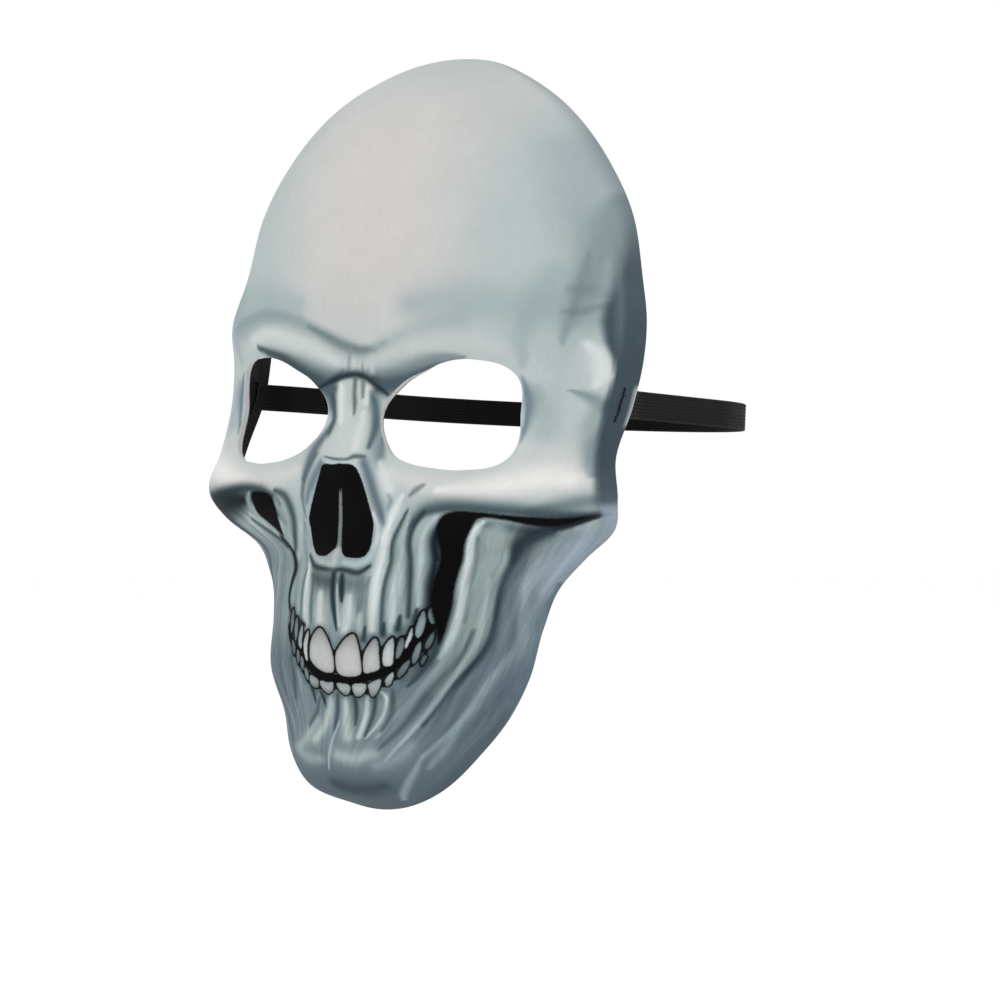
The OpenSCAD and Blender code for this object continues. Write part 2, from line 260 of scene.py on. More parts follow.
def curve_through(points, steps=5, closed=False):
    """Smooth curve through points of any number of values."""
    p = np.asarray(points, float)
    n = len(p)
    out = []
    for k in range(n if closed else n - 1):
        ids = [(k + d) % n if closed else min(max(k + d, 0), n - 1) for d in (-1, 0, 1, 2)]
        out += [catmull_rom(*p[ids], s) for s in np.arange(steps) / steps]
    return np.array(out if closed else out + [p[-1]])


def places_between(x, z, low, high):
    """Which places lie inside an upright box between two corners."""
    return np.flatnonzero((x > low[0]) & (x < high[0]) & (z > low[1]) & (z < high[1]))


def near_segment(x, z, start, end):
    """How far along a segment each place lies, from 0 to 1, and its squared distance from it."""
    dx, dz = end[0] - start[0], end[1] - start[1]
    right, up = x - start[0], z - start[1]
    share = np.clip((right * dx + up * dz) / max(dx * dx + dz * dz, 1e-9), 0, 1)
    return share, (right - share * dx) ** 2 + (up - share * dz) ** 2


def stroke_cover(x, z, points, lean=0.0):
    """How strongly a soft brush stroke covers each place; points are x, z and half width.

    A lean widens the stroke's left side, seen along it, and narrows its right side.
    """
    path = curve_through(points)
    reach = STROKE_REACH * path[:, 2].max()
    near = places_between(x, z, path[:, :2].min(0) - reach, path[:, :2].max(0) + reach)
    px, pz = x[near], z[near]
    best = np.zeros(len(near))
    for start, end in zip(path[:-1], path[1:]):
        share, away = near_segment(px, pz, start, end)
        dx, dz, widen = end - start
        side = np.sign(dx * (pz - start[1]) - dz * (px - start[0]))
        wide = (start[2] + share * widen) * (1 + lean * side)
        crisp = 1 + 0.4 * np.exp(-(wide / 1.3) ** 2)
        best = np.maximum(best, np.exp(-(away / wide**2) ** crisp))
    cover = np.zeros(len(x))
    cover[near] = best
    return cover


def outline_distance(x, z, points, limit=12.0, round_steps=4):
    """Signed distance in mm to a closed outline, negative inside; far places get the limit."""
    path = curve_through(points, round_steps, closed=True)
    near = places_between(x, z, path.min(0) - limit, path.max(0) + limit)
    px, pz = x[near], z[near]
    best = np.full(len(near), float(limit) ** 2)
    inside = np.zeros(len(near), bool)
    for start, end in zip(path, np.roll(path, -1, axis=0)):
        best = np.minimum(best, near_segment(px, pz, start, end)[1])
        dx, dz = end - start
        crossing = start[0] + (pz - start[1]) * dx / (dz if dz else 1e-9)
        inside ^= ((start[1] > pz) != (end[1] > pz)) & (px < crossing)
    out = np.full(len(x), float(limit))
    out[near] = np.where(inside, -1, 1) * np.sqrt(best)
    return out


# Colours of the print, sRGB
PRINT_LEVEL = 0.88
WARM, COOL = (205, 203, 201), (184, 195, 194)
DARK, LINE_INK, INK = (44, 56, 62), (13, 19, 22), (5, 5, 6)
SEPTUM, TOOTH_EDGE_TONE = (98, 104, 108), (150, 160, 161)
TEMPLE_WASH, CHIN_WASH, JAW_WASH = (176, 188, 190), (88, 104, 112), (104, 119, 129)
# Tones of the side wall, printed dark and deepened with painted shade, and of its border, of the
# pale edge in front of the elastic, and of the wall below the cheekbone
WALL_PRINT_AND_SHADE_TONE, BORDER_TONE = (60, 73, 82), (116, 132, 140)
EDGE_TONE, UNDER_BONE_TONE = (214, 218, 218), (150, 165, 177)
# A stroke still shows this many half widths from its middle
STROKE_REACH = 3.4

# Base colour down the middle: height and colour
BASE = [
    (107, (176, 186, 186)), (70, COOL), (15, COOL), (-45, (190, 199, 197)), (-60, (160, 173, 173)),
    (-85, (140, 156, 157)), (-104, (126, 142, 144)), (-118, (114, 130, 135)), (-140, (118, 134, 140)),
    (-152, (90, 104, 112)), (-166, (78, 90, 98)),
]

# Brush strokes, painted in order: colour, strength, points of x, z and half width, and for a fold
# how far it leans to one side, crisp on the other. The first list is painted on either side.
BOTH_SIDES = [
    # forehead sides, temple and brow ridge
    ((150, 164, 168), 0.55, [(62, 74, 7), (72, 52, 6), (79, 30, 5), (82, 12, 4)]),
    ((146, 164, 168), 0.5, [(26, 16, 5), (42, 17, 7.5), (58, 16, 8.5), (72, 14, 8), (86, 10, 6)]),
    ((142, 160, 164), 0.45, [(71, 28, 3), (70, 19, 6), (67.4, 8, 4), (65.8, -5, 1.4)]),
    ((160, 176, 179), 0.5, [(77, 26, 3), (79, 10, 3), (76, -4, 3)]),
    ((124, 140, 144), 0.65, [(74.6, 56, 0.6), (77.4, 46, 2.6), (79.6, 37, 4), (80.8, 28, 5),
     (80.4, 20, 4.6), (79.4, 13, 3), (78, 7, 1.4), (77.2, 2, 0.5)]),
    ((108, 124, 129), 0.4, [(77.4, 35, 0.4), (78, 27, 1.4), (78.4, 19, 1.6), (79, 12, 0.6)]),
    ((154, 168, 170), 0.5, [(80.6, 33, 0.4), (82, 25.4, 0.8), (83, 19, 0.5)]),
    ((104, 120, 127), 0.4, [(76, 21, 0.8), (80, 20.6, 1.4), (85, 19, 1)]),
    ((104, 120, 127), 0.4, [(76.6, 13.6, 0.8), (80.6, 13.4, 1.4), (85, 16, 1.2)]),
    ((198, 206, 204), 0.75, [(14, -3, 3), (28, 1, 3.5), (45, 3, 3.5), (58, 1, 3)]),
    ((176, 188, 189), 0.6, [(73, 1, 3.4), (76, -8, 4), (75, -20, 3.6)]),
    ((154, 169, 172), 0.6, [(70, -13, 1.6), (72, -20, 4), (73, -28, 4.6), (72, -36, 3)]),
    ((216, 222, 221), 0.95, [(82.6, 2.4, 1.2), (84.8, -2, 2.2), (85.4, -7.6, 2.2), (84.4, -12.4, 1)]),
    # shadow painted under the brow and into the inner corner of the eye
    ((104, 121, 128), 0.7, [(6, -7.4, 1.2), (13, -8.6, 3), (21, -7, 3.4), (29, -4.4, 2.8), (38, -2.2, 1.6),
     (46, -2.2, 0.7)]),
    ((70, 85, 91), 0.95, [(8, -9.6, 1.2), (14, -11.8, 2.7), (21, -10.4, 2.6), (28, -7.8, 1.9),
     (36, -5.2, 1.3), (45, -3.6, 0.6)]),
    ((72, 90, 98), 0.95, [(10, -14, 2), (14, -13.4, 3), (19, -11.8, 2.6)]),
    ((100, 119, 129), 0.85, [(64.6, -9.6, 0.6), (66, -13.6, 1.5), (66.8, -18.4, 2), (66.6, -24.6, 1.3),
     (66, -31, 0.6)], 0.5),
    ((118, 135, 141), 0.75, [(78.6, -13.6, 0.3), (81.6, -15, 1.2), (84, -16.8, 1.7), (86.6, -19.8, 2)]),
    ((134, 151, 155), 0.6, [(85.4, -19, 1.6), (84.6, -26, 2.6), (85, -33, 2.2), (86.6, -39, 1)]),
    # cheekbone
    ((208, 210, 208), 0.85, [(22, -43, 2), (34, -46, 4), (48, -47, 5), (62, -45.4, 5.6), (75, -42, 7),
     (85, -43, 5)]),
    ((234, 232, 230), 0.92, [(42, -48.4, 1.4), (56, -47.6, 3.4), (68, -45.6, 4.6), (77, -43.8, 5),
     (83, -44.4, 3.4)]),
    ((206, 210, 209), 0.6, [(69, -33, 3.4), (75, -35, 4)]),
    ((122, 138, 142), 0.75, [(86.6, -26, 0.8), (85.8, -32, 1.6), (86, -38, 1.9), (87.4, -43, 1)]),
    ((110, 126, 131), 0.85, [(73, -55.4, 0.8), (80, -54, 2.2), (86, -52.4, 2.6), (91, -51, 2)]),
    ((66, 82, 89), 0.95, [(29, -62.4, 0.9), (33.6, -58.4, 1.7), (40, -55.6, 2.3), (51, -54.4, 2.4),
     (66, -55.2, 2.3), (78, -56.6, 2.1), (86, -56.8, 1.3), (90, -56, 0.5)], 0.4),
    # bands that run down the jaw
    ((106, 124, 134), 0.85, [(84, -66, 4), (71, -76, 5), (62, -92, 5), (58, -108, 5), (50, -124, 5)]),
    ((156, 171, 183), 0.9, [(93, -60, 1.6), (87, -65, 3.2), (78, -70, 4), (70, -76, 4), (65, -84, 3.4),
     (63, -94, 2)]),
    ((96, 112, 119), 0.9, [(56, -60.4, 1), (62, -60.6, 2), (70, -62, 2.4)]),
    ((142, 158, 157), 0.9, [(62, -61, 2), (54, -66, 2.8), (48.5, -75, 3), (46.8, -86, 2.9),
     (45.6, -97, 2.5), (43, -108, 2.2), (37, -119, 1.6)]),
    ((30, 39, 46), 0.97, [(90, -57, 0.4), (86, -59, 1.2), (80, -61.2, 2.2), (74, -63, 2.4),
     (68.6, -65.4, 2), (63, -69, 1.5), (58.4, -74, 0.8)], -0.6),
    ((46, 59, 68), 0.95, [(76, -62.5, 1.4), (65, -67.4, 1.9), (57.2, -75, 1.8), (53.2, -85, 1.4),
     (51.6, -97, 1.1), (48.5, -108, 1.1), (41, -119, 1), (32, -131, 0.8)], 0.4),
    ((96, 112, 121), 0.8, [(62, -73, 0.8), (58, -80, 1.8), (56, -90, 2), (54.5, -101, 1.8), (50, -112, 1.6),
     (42, -125, 1.4)]),
    ((150, 166, 173), 0.7, [(66, -73, 0.5), (61, -80, 0.9), (59, -87, 0.9), (57.4, -95, 1), (55, -106, 1.1),
     (49.5, -118, 1.1), (41.5, -130, 0.9), (31, -143, 0.6)], 0.3),
    ((92, 107, 117), 0.7, [(66.5, -82, 0.4), (62, -90, 1), (60, -99, 1), (56, -113, 1),
     (46, -129, 0.8)], 0.4),
    ((96, 113, 120), 0.8, [(53, -64.6, 0.6), (46.8, -73.4, 0.7), (45.2, -84, 0.7), (44.4, -95, 0.6)]),
    ((176, 190, 191), 0.75, [(50.4, -80, 0.5), (49.4, -92, 0.8), (48, -102, 1), (44.4, -112, 1),
     (38.4, -122, 1), (30, -133, 0.9), (22, -144, 0.5)], -0.3),
    ((74, 90, 99), 0.8, [(47, -98, 0.6), (44, -108, 0.9), (37.4, -118.4, 1.1), (29, -129.4, 1.1),
     (20, -140, 0.7)]),
    ((206, 215, 215), 0.98, [(58.4, -58.8, 0.3), (53, -61.8, 1.1), (47.8, -67.8, 1.4), (43.8, -75, 1.3),
     (42.9, -86, 1.2), (42.2, -94, 1.1), (40.8, -101, 1), (38.6, -107.4, 0.5)], 0.4),
    ((160, 176, 180), 0.7, [(42.2, -94, 0.3), (40.6, -103, 1), (37.4, -111, 1.4), (31.4, -120, 1.3),
     (25, -128, 1), (19, -136, 0.4)], 0.2),
    ((98, 114, 121), 0.7, [(38.6, -108.6, 0.7), (34.6, -114.6, 1), (28.6, -122.4, 1), (22.6, -129.4, 0.6)]),
    ((146, 164, 174), 0.75, [(31.5, -142, 0.4), (27.5, -149, 0.8), (23, -155, 0.8), (18, -160, 0.4)]),
    ((134, 152, 160), 0.7, [(41, -131, 0.5), (36.5, -140, 1), (31, -147.5, 0.5)]),
]
ONE_SIDE = [
    # crease between forehead and brow
    ((132, 148, 150), 0.7, [(-62, 9, 4), (-44, 12.8, 3.8), (-28, 11.2, 3.4), (-14, 6.6, 3), (-4, 2.8, 2.8),
     (2, 1, 2.3), (10, 1.2, 1.7), (15, 3, 1)], -0.4),
    ((96, 113, 114), 0.65, [(-20, 8.6, 0.8), (-10, 4.4, 1.6), (-2, 1, 1.8), (5, 0.2, 1.4),
     (11, 0.8, 0.6)], -0.3),
    ((158, 173, 173), 0.6, [(10, 1.4, 1.8), (20, 4.4, 2.6), (32, 8.4, 3.5), (46, 11, 4.5)]),
    ((208, 214, 212), 0.8, [(-52, 3, 2.4), (-40, 6, 3), (-28, 3.6, 3.4), (-16, -0.5, 3), (-9, -4, 2.2)]),
    ((64, 79, 85), 0.95, [(-15, -13, 1.4), (-20, -10.8, 2.4), (-28, -7, 2.4), (-38, -2.6, 2.2),
     (-50, 0.4, 1.2)]),
    # wrinkles between the brows
    ((136, 151, 152), 0.75, [(-3.8, -9, 0.9), (-3.2, -4, 0.7), (-2.2, 0.4, 0.5)]),
    ((206, 213, 211), 0.75, [(-1.4, -7.6, 0.7), (-1.2, -2.6, 0.5)]),
    ((128, 144, 146), 0.7, [(3.4, -9.6, 1), (3, -4.6, 0.5)]),
    ((196, 204, 202), 0.7, [(7.4, -7.4, 1.4), (8.2, -3.2, 1.6)]),
    ((80, 94, 104), 0.95, [(-16, -13.4, 1.4), (-12.4, -15.6, 3), (-10, -19, 2.8)]),
    ((66, 83, 87), 0.92, [(-10.6, -16, 1), (-8.4, -20.6, 2), (-6.8, -25, 2.2), (-9, -29.4, 1.6)]),
    ((38, 50, 56), 0.98, [(-19.5, -14.4, 0.5), (-12.5, -11.4, 1.1), (-5.5, -9.4, 1.5), (0, -8.8, 1.5),
     (5, -9.8, 1.4), (9, -12.3, 1.1), (14.5, -15.8, 0.6)], 0.2),
    # bridge of the nose
    ((84, 101, 110), 0.85, [(-8.4, -26.5, 1), (-12.4, -31.5, 1.8), (-15.6, -37, 2.2), (-18, -46, 1.2)]),
    ((128, 147, 153), 0.9, [(11, -25, 1.4), (13.4, -30, 3), (14.6, -35.4, 3.4), (16.4, -40, 1.6)]),
    ((78, 97, 103), 0.92, [(7, -14.8, 0.8), (9.4, -18, 1.9), (10.6, -22.6, 1.7), (11.2, -28, 1.5),
     (10.6, -34, 1)]),
    ((104, 123, 129), 0.7, [(15, -31, 0.8), (16.4, -36, 1.6), (17.4, -41, 1)]),
    ((196, 205, 203), 0.85, [(1.6, -23, 4), (2, -29, 4.6), (0.6, -34.5, 5)]),
    ((214, 219, 217), 0.9, [(6.4, -22, 1), (6.4, -28, 1.6), (5.6, -34.6, 1.6)]),
    ((222, 223, 221), 0.98, [(-6.6, -12.2, 0.8), (-5.6, -14.6, 2), (-4, -19, 2.2), (-1.6, -25, 1.4)]),
    ((218, 220, 218), 0.98, [(6.2, -12.8, 0.5), (6.2, -15, 1.4), (6.8, -19, 0.9)]),
    ((200, 205, 201), 0.9, [(2.4, -11.6, 0.4), (3.2, -14.6, 0.7), (4.6, -19, 0.4)]),
    ((94, 106, 104), 0.9, [(0.2, -10.4, 1.1), (1.4, -15, 0.9), (2.8, -19, 0.9), (3.4, -23, 0.3)]),
    ((104, 117, 117), 0.85, [(3.9, -11, 0.9), (4.6, -14, 0.8), (5.2, -16.6, 0.6)]),
    ((84, 98, 104), 0.9, [(-8.4, -37.8, 0.3), (-3, -38.5, 0.6), (3, -38.5, 0.6), (6, -37.4, 0.9),
     (9.6, -37.6, 0.8)]),
    # sides of the nose
    ((104, 121, 132), 0.92, [(-10, -40.6, 2.2), (-13.4, -46.6, 2.4), (-15.6, -54, 1.5)]),
    ((82, 99, 104), 0.8, [(-13.6, -37, 0.9), (-17.3, -45.6, 1.1), (-18.2, -53, 0.9), (-16.6, -60, 0.5)]),
    ((160, 175, 184), 0.8, [(-13.6, -50, 0.5), (-15.2, -56, 0.8), (-16, -61, 0.9), (-15.2, -67, 0.7)]),
    ((92, 109, 119), 0.94, [(9.8, -39.6, 1.8), (13.8, -46.6, 2.4), (17.2, -54.6, 2.1), (19.6, -61, 1)]),
    ((212, 219, 219), 0.98, [(16.8, -39.6, 1.4), (20.4, -45.6, 2.8), (22.2, -49, 2.6)]),
    ((214, 221, 221), 0.98, [(28, -50.6, 0.8), (25.4, -54.4, 1.9), (22.4, -59.4, 2.1), (19.2, -66.6, 1.7)]),
    ((132, 148, 158), 0.75, [(21.6, -50.4, 0.6), (22.8, -52.6, 1.2), (21.4, -55.6, 0.6)]),
    ((98, 114, 118), 0.75, [(31, -50.6, 0.6), (33.6, -48.4, 1.2), (36.4, -46.6, 0.6)]),
    # streaks down the upper jaw, wearer's left
    ((208, 215, 214), 0.98, [(19.6, -66, 1.8), (17, -72.6, 2.3), (16.6, -80, 2.6), (16.8, -90, 2.4),
     (17, -98, 1.5)]),
    ((158, 175, 173), 0.85, [(30, -57.6, 1), (26, -64.4, 1.8), (22.8, -72, 2), (22, -80, 2)]),
    ((180, 194, 193), 0.8, [(29, -60.6, 0.5), (25.4, -67.4, 0.8), (23.4, -74, 0.9), (23, -80, 0.8)]),
    ((182, 196, 200), 0.92, [(23, -76, 1.4), (23.6, -84, 3), (24, -92, 3), (24, -98, 1.6)]),
    ((126, 144, 150), 0.5, [(24.8, -72, 0.3), (23.6, -79, 0.5), (24.6, -87, 0.6), (25.2, -95, 0.4)]),
    ((120, 139, 145), 0.65, [(26.6, -82, 0.3), (26.2, -88, 0.5), (26.4, -96, 0.4)]),
    ((58, 76, 80), 0.92, [(29.6, -55.6, 0.5), (25.4, -61.6, 0.8), (21.4, -68.2, 0.9), (19.9, -75, 0.9),
     (19.5, -85, 0.9), (19.9, -99, 0.8)], 0.35),
    ((48, 66, 73), 0.96, [(37, -55.8, 0.6), (31.4, -61.4, 1.2), (28.2, -67.4, 1.2), (27, -74, 1.2),
     (28.2, -82, 1.1), (28.8, -93, 0.9)], -0.3),
    ((182, 197, 200), 0.92, [(41, -57.2, 0.6), (35.8, -62.2, 1.1), (31.9, -68.2, 1.1), (30, -74, 1),
     (30.6, -82, 1), (31.1, -91, 0.7)], 0.3),
    ((20, 30, 36), 0.97, [(42.6, -59.2, 0.8), (38.2, -65, 1.8), (35.4, -71.6, 1.9), (34.4, -80, 1.7),
     (34.6, -90, 1.5)]),
    ((78, 106, 112), 0.8, [(35.4, -74, 0.2), (35.6, -81, 0.45), (35.4, -88, 0.3)]),
    # roots of the front teeth
    ((78, 90, 91), 0.95, [(-12, -80.4, 1.8), (-7, -81.8, 3.2), (-2, -81.8, 3)]),
    ((104, 118, 120), 0.85, [(4, -81.6, 2.4), (9, -82.4, 3), (12, -83, 2)]),
    ((192, 198, 194), 0.95, [(-6, -86.6, 1.6), (-5.2, -92.6, 2.9), (-4.2, -98, 2.6)]),
    ((196, 205, 203), 0.95, [(-16, -76.6, 1), (-14.6, -83, 2), (-13.8, -91, 2), (-12.4, -98, 1.3)]),
    ((92, 108, 110), 0.85, [(-11.2, -81, 1), (-10.8, -90, 0.9), (-9.8, -97, 0.5)]),
    ((92, 109, 111), 0.85, [(-16.8, -78, 0.5), (-17.3, -86, 0.9), (-16.4, -96, 0.6)]),
    ((150, 165, 165), 0.8, [(-19.4, -76, 1), (-19.2, -86, 1.2), (-18, -94, 0.8)]),
    ((34, 47, 53), 0.97, [(-1, -79, 1.2), (-0.2, -85, 1.4), (1.2, -91, 1.2), (3.2, -98.6, 0.4)]),
    ((28, 42, 49), 0.95, [(2.8, -79.6, 1), (3.6, -84, 1.5), (4.4, -88.6, 0.6)]),
    ((184, 195, 194), 0.85, [(1.4, -82.6, 0.3), (2.6, -89, 0.6), (4.2, -97, 0.6)]),
    ((204, 212, 208), 0.95, [(7.2, -87, 1.4), (7.4, -93, 2.2), (7, -98.6, 2)]),
    ((94, 112, 116), 0.8, [(11, -80.5, 1.4), (11.4, -87, 1.6), (11.6, -93, 0.8)]),
    ((176, 188, 187), 0.8, [(12.2, -93, 1), (12.2, -99, 1)]),
    ((104, 122, 126), 0.75, [(13.7, -80, 0.7), (13.9, -90, 0.7), (14.4, -98, 0.6)]),
    ((38, 52, 57), 0.9, [(14.4, -97, 0.5), (14.2, -101.6, 1.1)]),
    ((40, 54, 60), 0.9, [(21, -95.6, 0.5), (21, -99.6, 1.2)]),
    ((36, 50, 56), 0.9, [(26, -93, 0.6), (25.6, -97.6, 1.6)]),
    ((44, 58, 64), 0.9, [(31, -90.6, 0.6), (30.6, -94.6, 1.2)]),
    # shade between the back teeth and the jaw
    ((50, 64, 71), 0.85, [(39, -97, 0.7), (38, -103, 1.5), (36.4, -108.6, 1.8), (33, -114, 1.2),
     (30, -117.6, 0.5)], -0.2),
    # black between the back teeth, either side
    ((13, 17, 19), 0.97, [(24.6, -107, 1.8), (28.2, -104.8, 2.8), (32, -101, 3.4), (35.6, -95.6, 3.6),
     (38.4, -89, 2.4)]),
    ((22, 28, 31), 0.9, [(-23.4, -96, 1.6), (-21, -101.6, 2.6), (-17.6, -105.6, 2.4),
     (-13.6, -109.4, 1.6)]),
    # wearer's right of the upper jaw and the hollow under its cheekbone
    ((52, 64, 70), 0.95, [(-30, -55.6, 0.8), (-34, -52.6, 1.6), (-41, -50.6, 2), (-50, -50.6, 2.2),
     (-62, -53, 2.4), (-76, -56, 2)]),
    ((22, 31, 35), 0.96, [(-49.6, -55, 2.6), (-55, -56, 4.2), (-64, -57.6, 4.8), (-76, -59, 4.6),
     (-88, -59.6, 3.2)]),
    ((146, 162, 158), 0.95, [(-45.6, -51.8, 0.5), (-46.8, -55, 1.4), (-47.2, -58.4, 1.2),
     (-45.6, -61.4, 0.6)]),
    ((52, 66, 72), 0.8, [(-50, -62, 0.7), (-44, -65, 1.1), (-37, -68.4, 1.3), (-33, -71.6, 0.9)]),
    ((172, 186, 188), 0.85, [(-50, -59.8, 0.4), (-46, -61.4, 0.7), (-41, -63.8, 0.7), (-36, -66.6, 0.7),
     (-31, -70.4, 0.4)]),
    ((172, 186, 184), 0.85, [(-19.8, -55, 1.6), (-20.2, -64, 1.8), (-22.4, -71, 1.4), (-25, -76, 1)]),
    ((126, 143, 146), 0.75, [(-17.4, -62, 0.8), (-18.6, -70, 1.2), (-17.8, -78, 0.9)]),
    ((60, 77, 80), 0.92, [(-32, -50.6, 1), (-27, -52.6, 1.8), (-24, -58, 1.9), (-23.4, -64, 1.6),
     (-25.6, -70, 1.3), (-28, -74, 0.8)]),
    ((140, 156, 154), 0.85, [(-32.4, -53.4, 0.8), (-30, -58, 1.7), (-29, -64, 1.7), (-30.2, -70, 1),
     (-29, -74, 0.6)]),
    ((12, 17, 19), 0.98, [(-34, -68, 1.2), (-29.6, -72.6, 1.2), (-26, -77, 1.5), (-24.8, -80, 1.5),
     (-26, -84, 1.1), (-26.8, -89, 1), (-24.6, -93.4, 1), (-19.4, -96, 1), (-13.4, -98, 0.8)]),
    ((150, 166, 170), 0.7, [(-24.6, -85, 0.4), (-24.8, -89, 0.9)]),
    # roots of the lower teeth and the chin
    ((30, 42, 46), 0.9, [(-8.4, -119, 0.4), (-6.6, -122, 0.7), (-5.4, -125, 0.3)]),
    ((34, 46, 50), 0.9, [(-3.6, -120.6, 0.4), (-1.6, -123, 0.8), (0, -126, 0.3)]),
    ((184, 195, 193), 0.92, [(1.4, -121.8, 1), (1.4, -127, 1.7), (-0.6, -133, 2.1), (-4.6, -137.6, 2)]),
    ((166, 180, 177), 0.75, [(-4, -131, 1.6), (-9, -137, 2.4), (-14, -141, 1.6)]),
    ((182, 195, 192), 0.92, [(8, -122.4, 1), (8.6, -129, 1.8), (9.2, -136, 2)]),
    ((196, 208, 208), 0.92, [(16.6, -121.8, 0.7), (15.6, -128, 1.1), (13.2, -136, 0.9)]),
    ((190, 204, 204), 0.9, [(21, -119.4, 0.4), (23, -121.8, 0.7), (22.2, -126, 0.7), (19.6, -131, 0.7),
     (16, -136, 0.3)]),
    ((64, 79, 85), 0.9, [(4.6, -121.4, 0.8), (5, -127, 0.9), (4, -134, 0.5)]),
    ((52, 66, 71), 0.9, [(11.4, -121.6, 0.6), (12.4, -126.4, 0.9), (11.8, -132, 0.4)]),
    ((56, 70, 76), 0.9, [(19.2, -121.8, 0.7), (18.4, -127, 0.9), (15.4, -135, 0.5)]),
    ((70, 85, 91), 0.8, [(25, -119, 0.8), (24.6, -126, 1), (20.6, -133.6, 0.7)]),
    ((74, 89, 95), 0.75, [(-3.6, -123, 0.6), (-4.6, -128, 1), (-8.4, -133, 0.8)]),
    ((170, 185, 187), 0.8, [(5.8, -131, 0.3), (3.6, -137, 0.6), (2.4, -143, 0.6), (1.8, -148, 0.3)]),
    ((158, 171, 171), 0.7, [(-16, -142, 2.4), (-8, -144.6, 2.4), (-1, -144.6, 1.6)]),
    ((168, 182, 183), 0.85, [(6, -142.6, 2.4), (12, -143.4, 2.8), (18, -141.6, 2.2)]),
    ((138, 155, 161), 0.7, [(19, -146, 2), (25, -143, 2.4), (29, -138.6, 1.6)]),
    ((62, 74, 82), 0.8, [(3, -153, 2.4), (11, -155.4, 3), (19, -153.6, 2)]),
    ((134, 151, 158), 0.7, [(-28, -112, 0.5), (-25, -118.6, 0.8), (-21.6, -127.6, 0.5)]),
    ((128, 145, 152), 0.7, [(-17.8, -111.6, 0.5), (-14.8, -117, 0.9), (-14.2, -123, 0.9),
     (-16.8, -129.6, 0.5)]),
    ((70, 84, 91), 0.75, [(-21.6, -110, 0.8), (-18.4, -117, 1.2), (-17.8, -124, 0.9)]),
]

# Crisp shapes of the print: closed outlines of x and z
NOSE_RIGHT = [
    (-0.6, -41), (-4, -40.4), (-9, -40.7), (-10.6, -45), (-13, -53), (-15.2, -60), (-14.4, -64), (-14, -70),
    (-12, -73), (-7, -73.2), (-3.2, -71), (-1.2, -69), (-0.5, -60), (-0.3, -50),
]
NOSE_TOP = [(-3, -40.6), (4, -40.6), (4, -46), (1.4, -48), (0.3, -50.5), (-0.6, -48), (-3, -46)]
NOSE_LEFT = [
    (0.9, -41), (5.8, -40.6), (9.4, -45), (12.9, -53), (15, -60), (14.6, -64), (13.2, -69), (10.2, -72.8),
    (5, -73.4), (2, -72.6), (0.9, -69.6), (1.2, -60), (1, -50),
]
CHEEK_HOLLOW = [
    (40, -61), (43.5, -57), (50, -55.2), (60, -55.6), (72, -56.8), (82, -57.4), (89.4, -56.6), (84, -59.4),
    (78, -60.8), (72, -60.2), (66, -58.6), (60, -57.8), (55.6, -58.8), (50.4, -64), (45.5, -69.6),
    (42.2, -76), (41.2, -84), (40.6, -93), (39.6, -99.4), (38.2, -103), (37, -98), (34.6, -89), (34.6, -82),
    (35.5, -75), (38, -67.5),
]
FAR_HOLLOW = [
    (-32.2, -60), (-32.8, -55.4), (-34.4, -52.4), (-39, -51.2), (-44, -51.6), (-44.8, -55), (-44.4, -59.4),
    (-40.4, -62.2), (-35.6, -65), (-31.9, -67.8), (-31.6, -64),
]
UPPER_TEETH = [
    [(-23.6, -96.5), (-22.6, -93), (-21.4, -94), (-21.2, -99), (-22.6, -101.5)],
    [(-20.2, -99.5), (-19.4, -95.8), (-18.2, -96.6), (-17.8, -101.5), (-19, -104)],
    [(-16.9, -103.5), (-16.2, -99.5), (-15.3, -98), (-14.3, -99.8), (-14.7, -103), (-14.6, -106.2),
     (-16.2, -105.8)],
    [(-13.4, -105.5), (-12.7, -102), (-11.3, -99.8), (-10.7, -101.2), (-11.2, -104.5), (-11, -108),
     (-10.5, -110.4), (-12, -109.6)],
    [(-9.7, -106.8), (-9.3, -103.4), (-7.8, -100.6), (-5.6, -98.6), (-3.4, -98.9), (-1.2, -101.2),
     (1, -105), (2.3, -109), (2.6, -112.4), (1.6, -113.7), (-2, -113.7), (-6, -112.2), (-9, -109.8)],
    [(3.2, -107.6), (4.4, -104.8), (7.4, -101.2), (10, -99.8), (11.4, -101.4), (12.7, -105.4), (13.6, -110),
     (13.8, -113.3), (11.6, -114.5), (8, -114.8), (5, -114), (3.6, -112)],
    [(14.5, -107.6), (15.2, -105.2), (17, -102.2), (18.2, -101), (19.2, -102), (19.9, -105.6),
     (20.4, -109.4), (20.4, -111.6), (17.6, -112.9), (15.2, -113.2), (14.5, -111)],
    [(21.4, -106.4), (22, -103.4), (23.4, -101.2), (24.3, -100.7), (24.8, -103), (25, -107.4), (24.7, -110),
     (22.6, -110.6), (21.6, -109.4)],
    [(25.9, -104.4), (26.5, -101.4), (27.3, -100.4), (28, -102.2), (27.8, -105), (26.8, -107.4),
     (25.9, -107.6)],
    [(28.8, -101.2), (29.6, -98), (30, -97), (30.4, -99.2), (29.7, -102), (28.7, -104.2), (28.4, -102.8)],
    [(31.2, -97.4), (32, -93.2), (33, -91.2), (33.8, -94), (33.5, -97.6), (32.3, -100.6), (31.4, -99.6)],
    [(34.4, -91.4), (35.3, -89.6), (36.6, -90.6), (37.2, -93.6), (36.6, -95.4), (35.6, -95.5),
     (34.7, -93.8)],
]
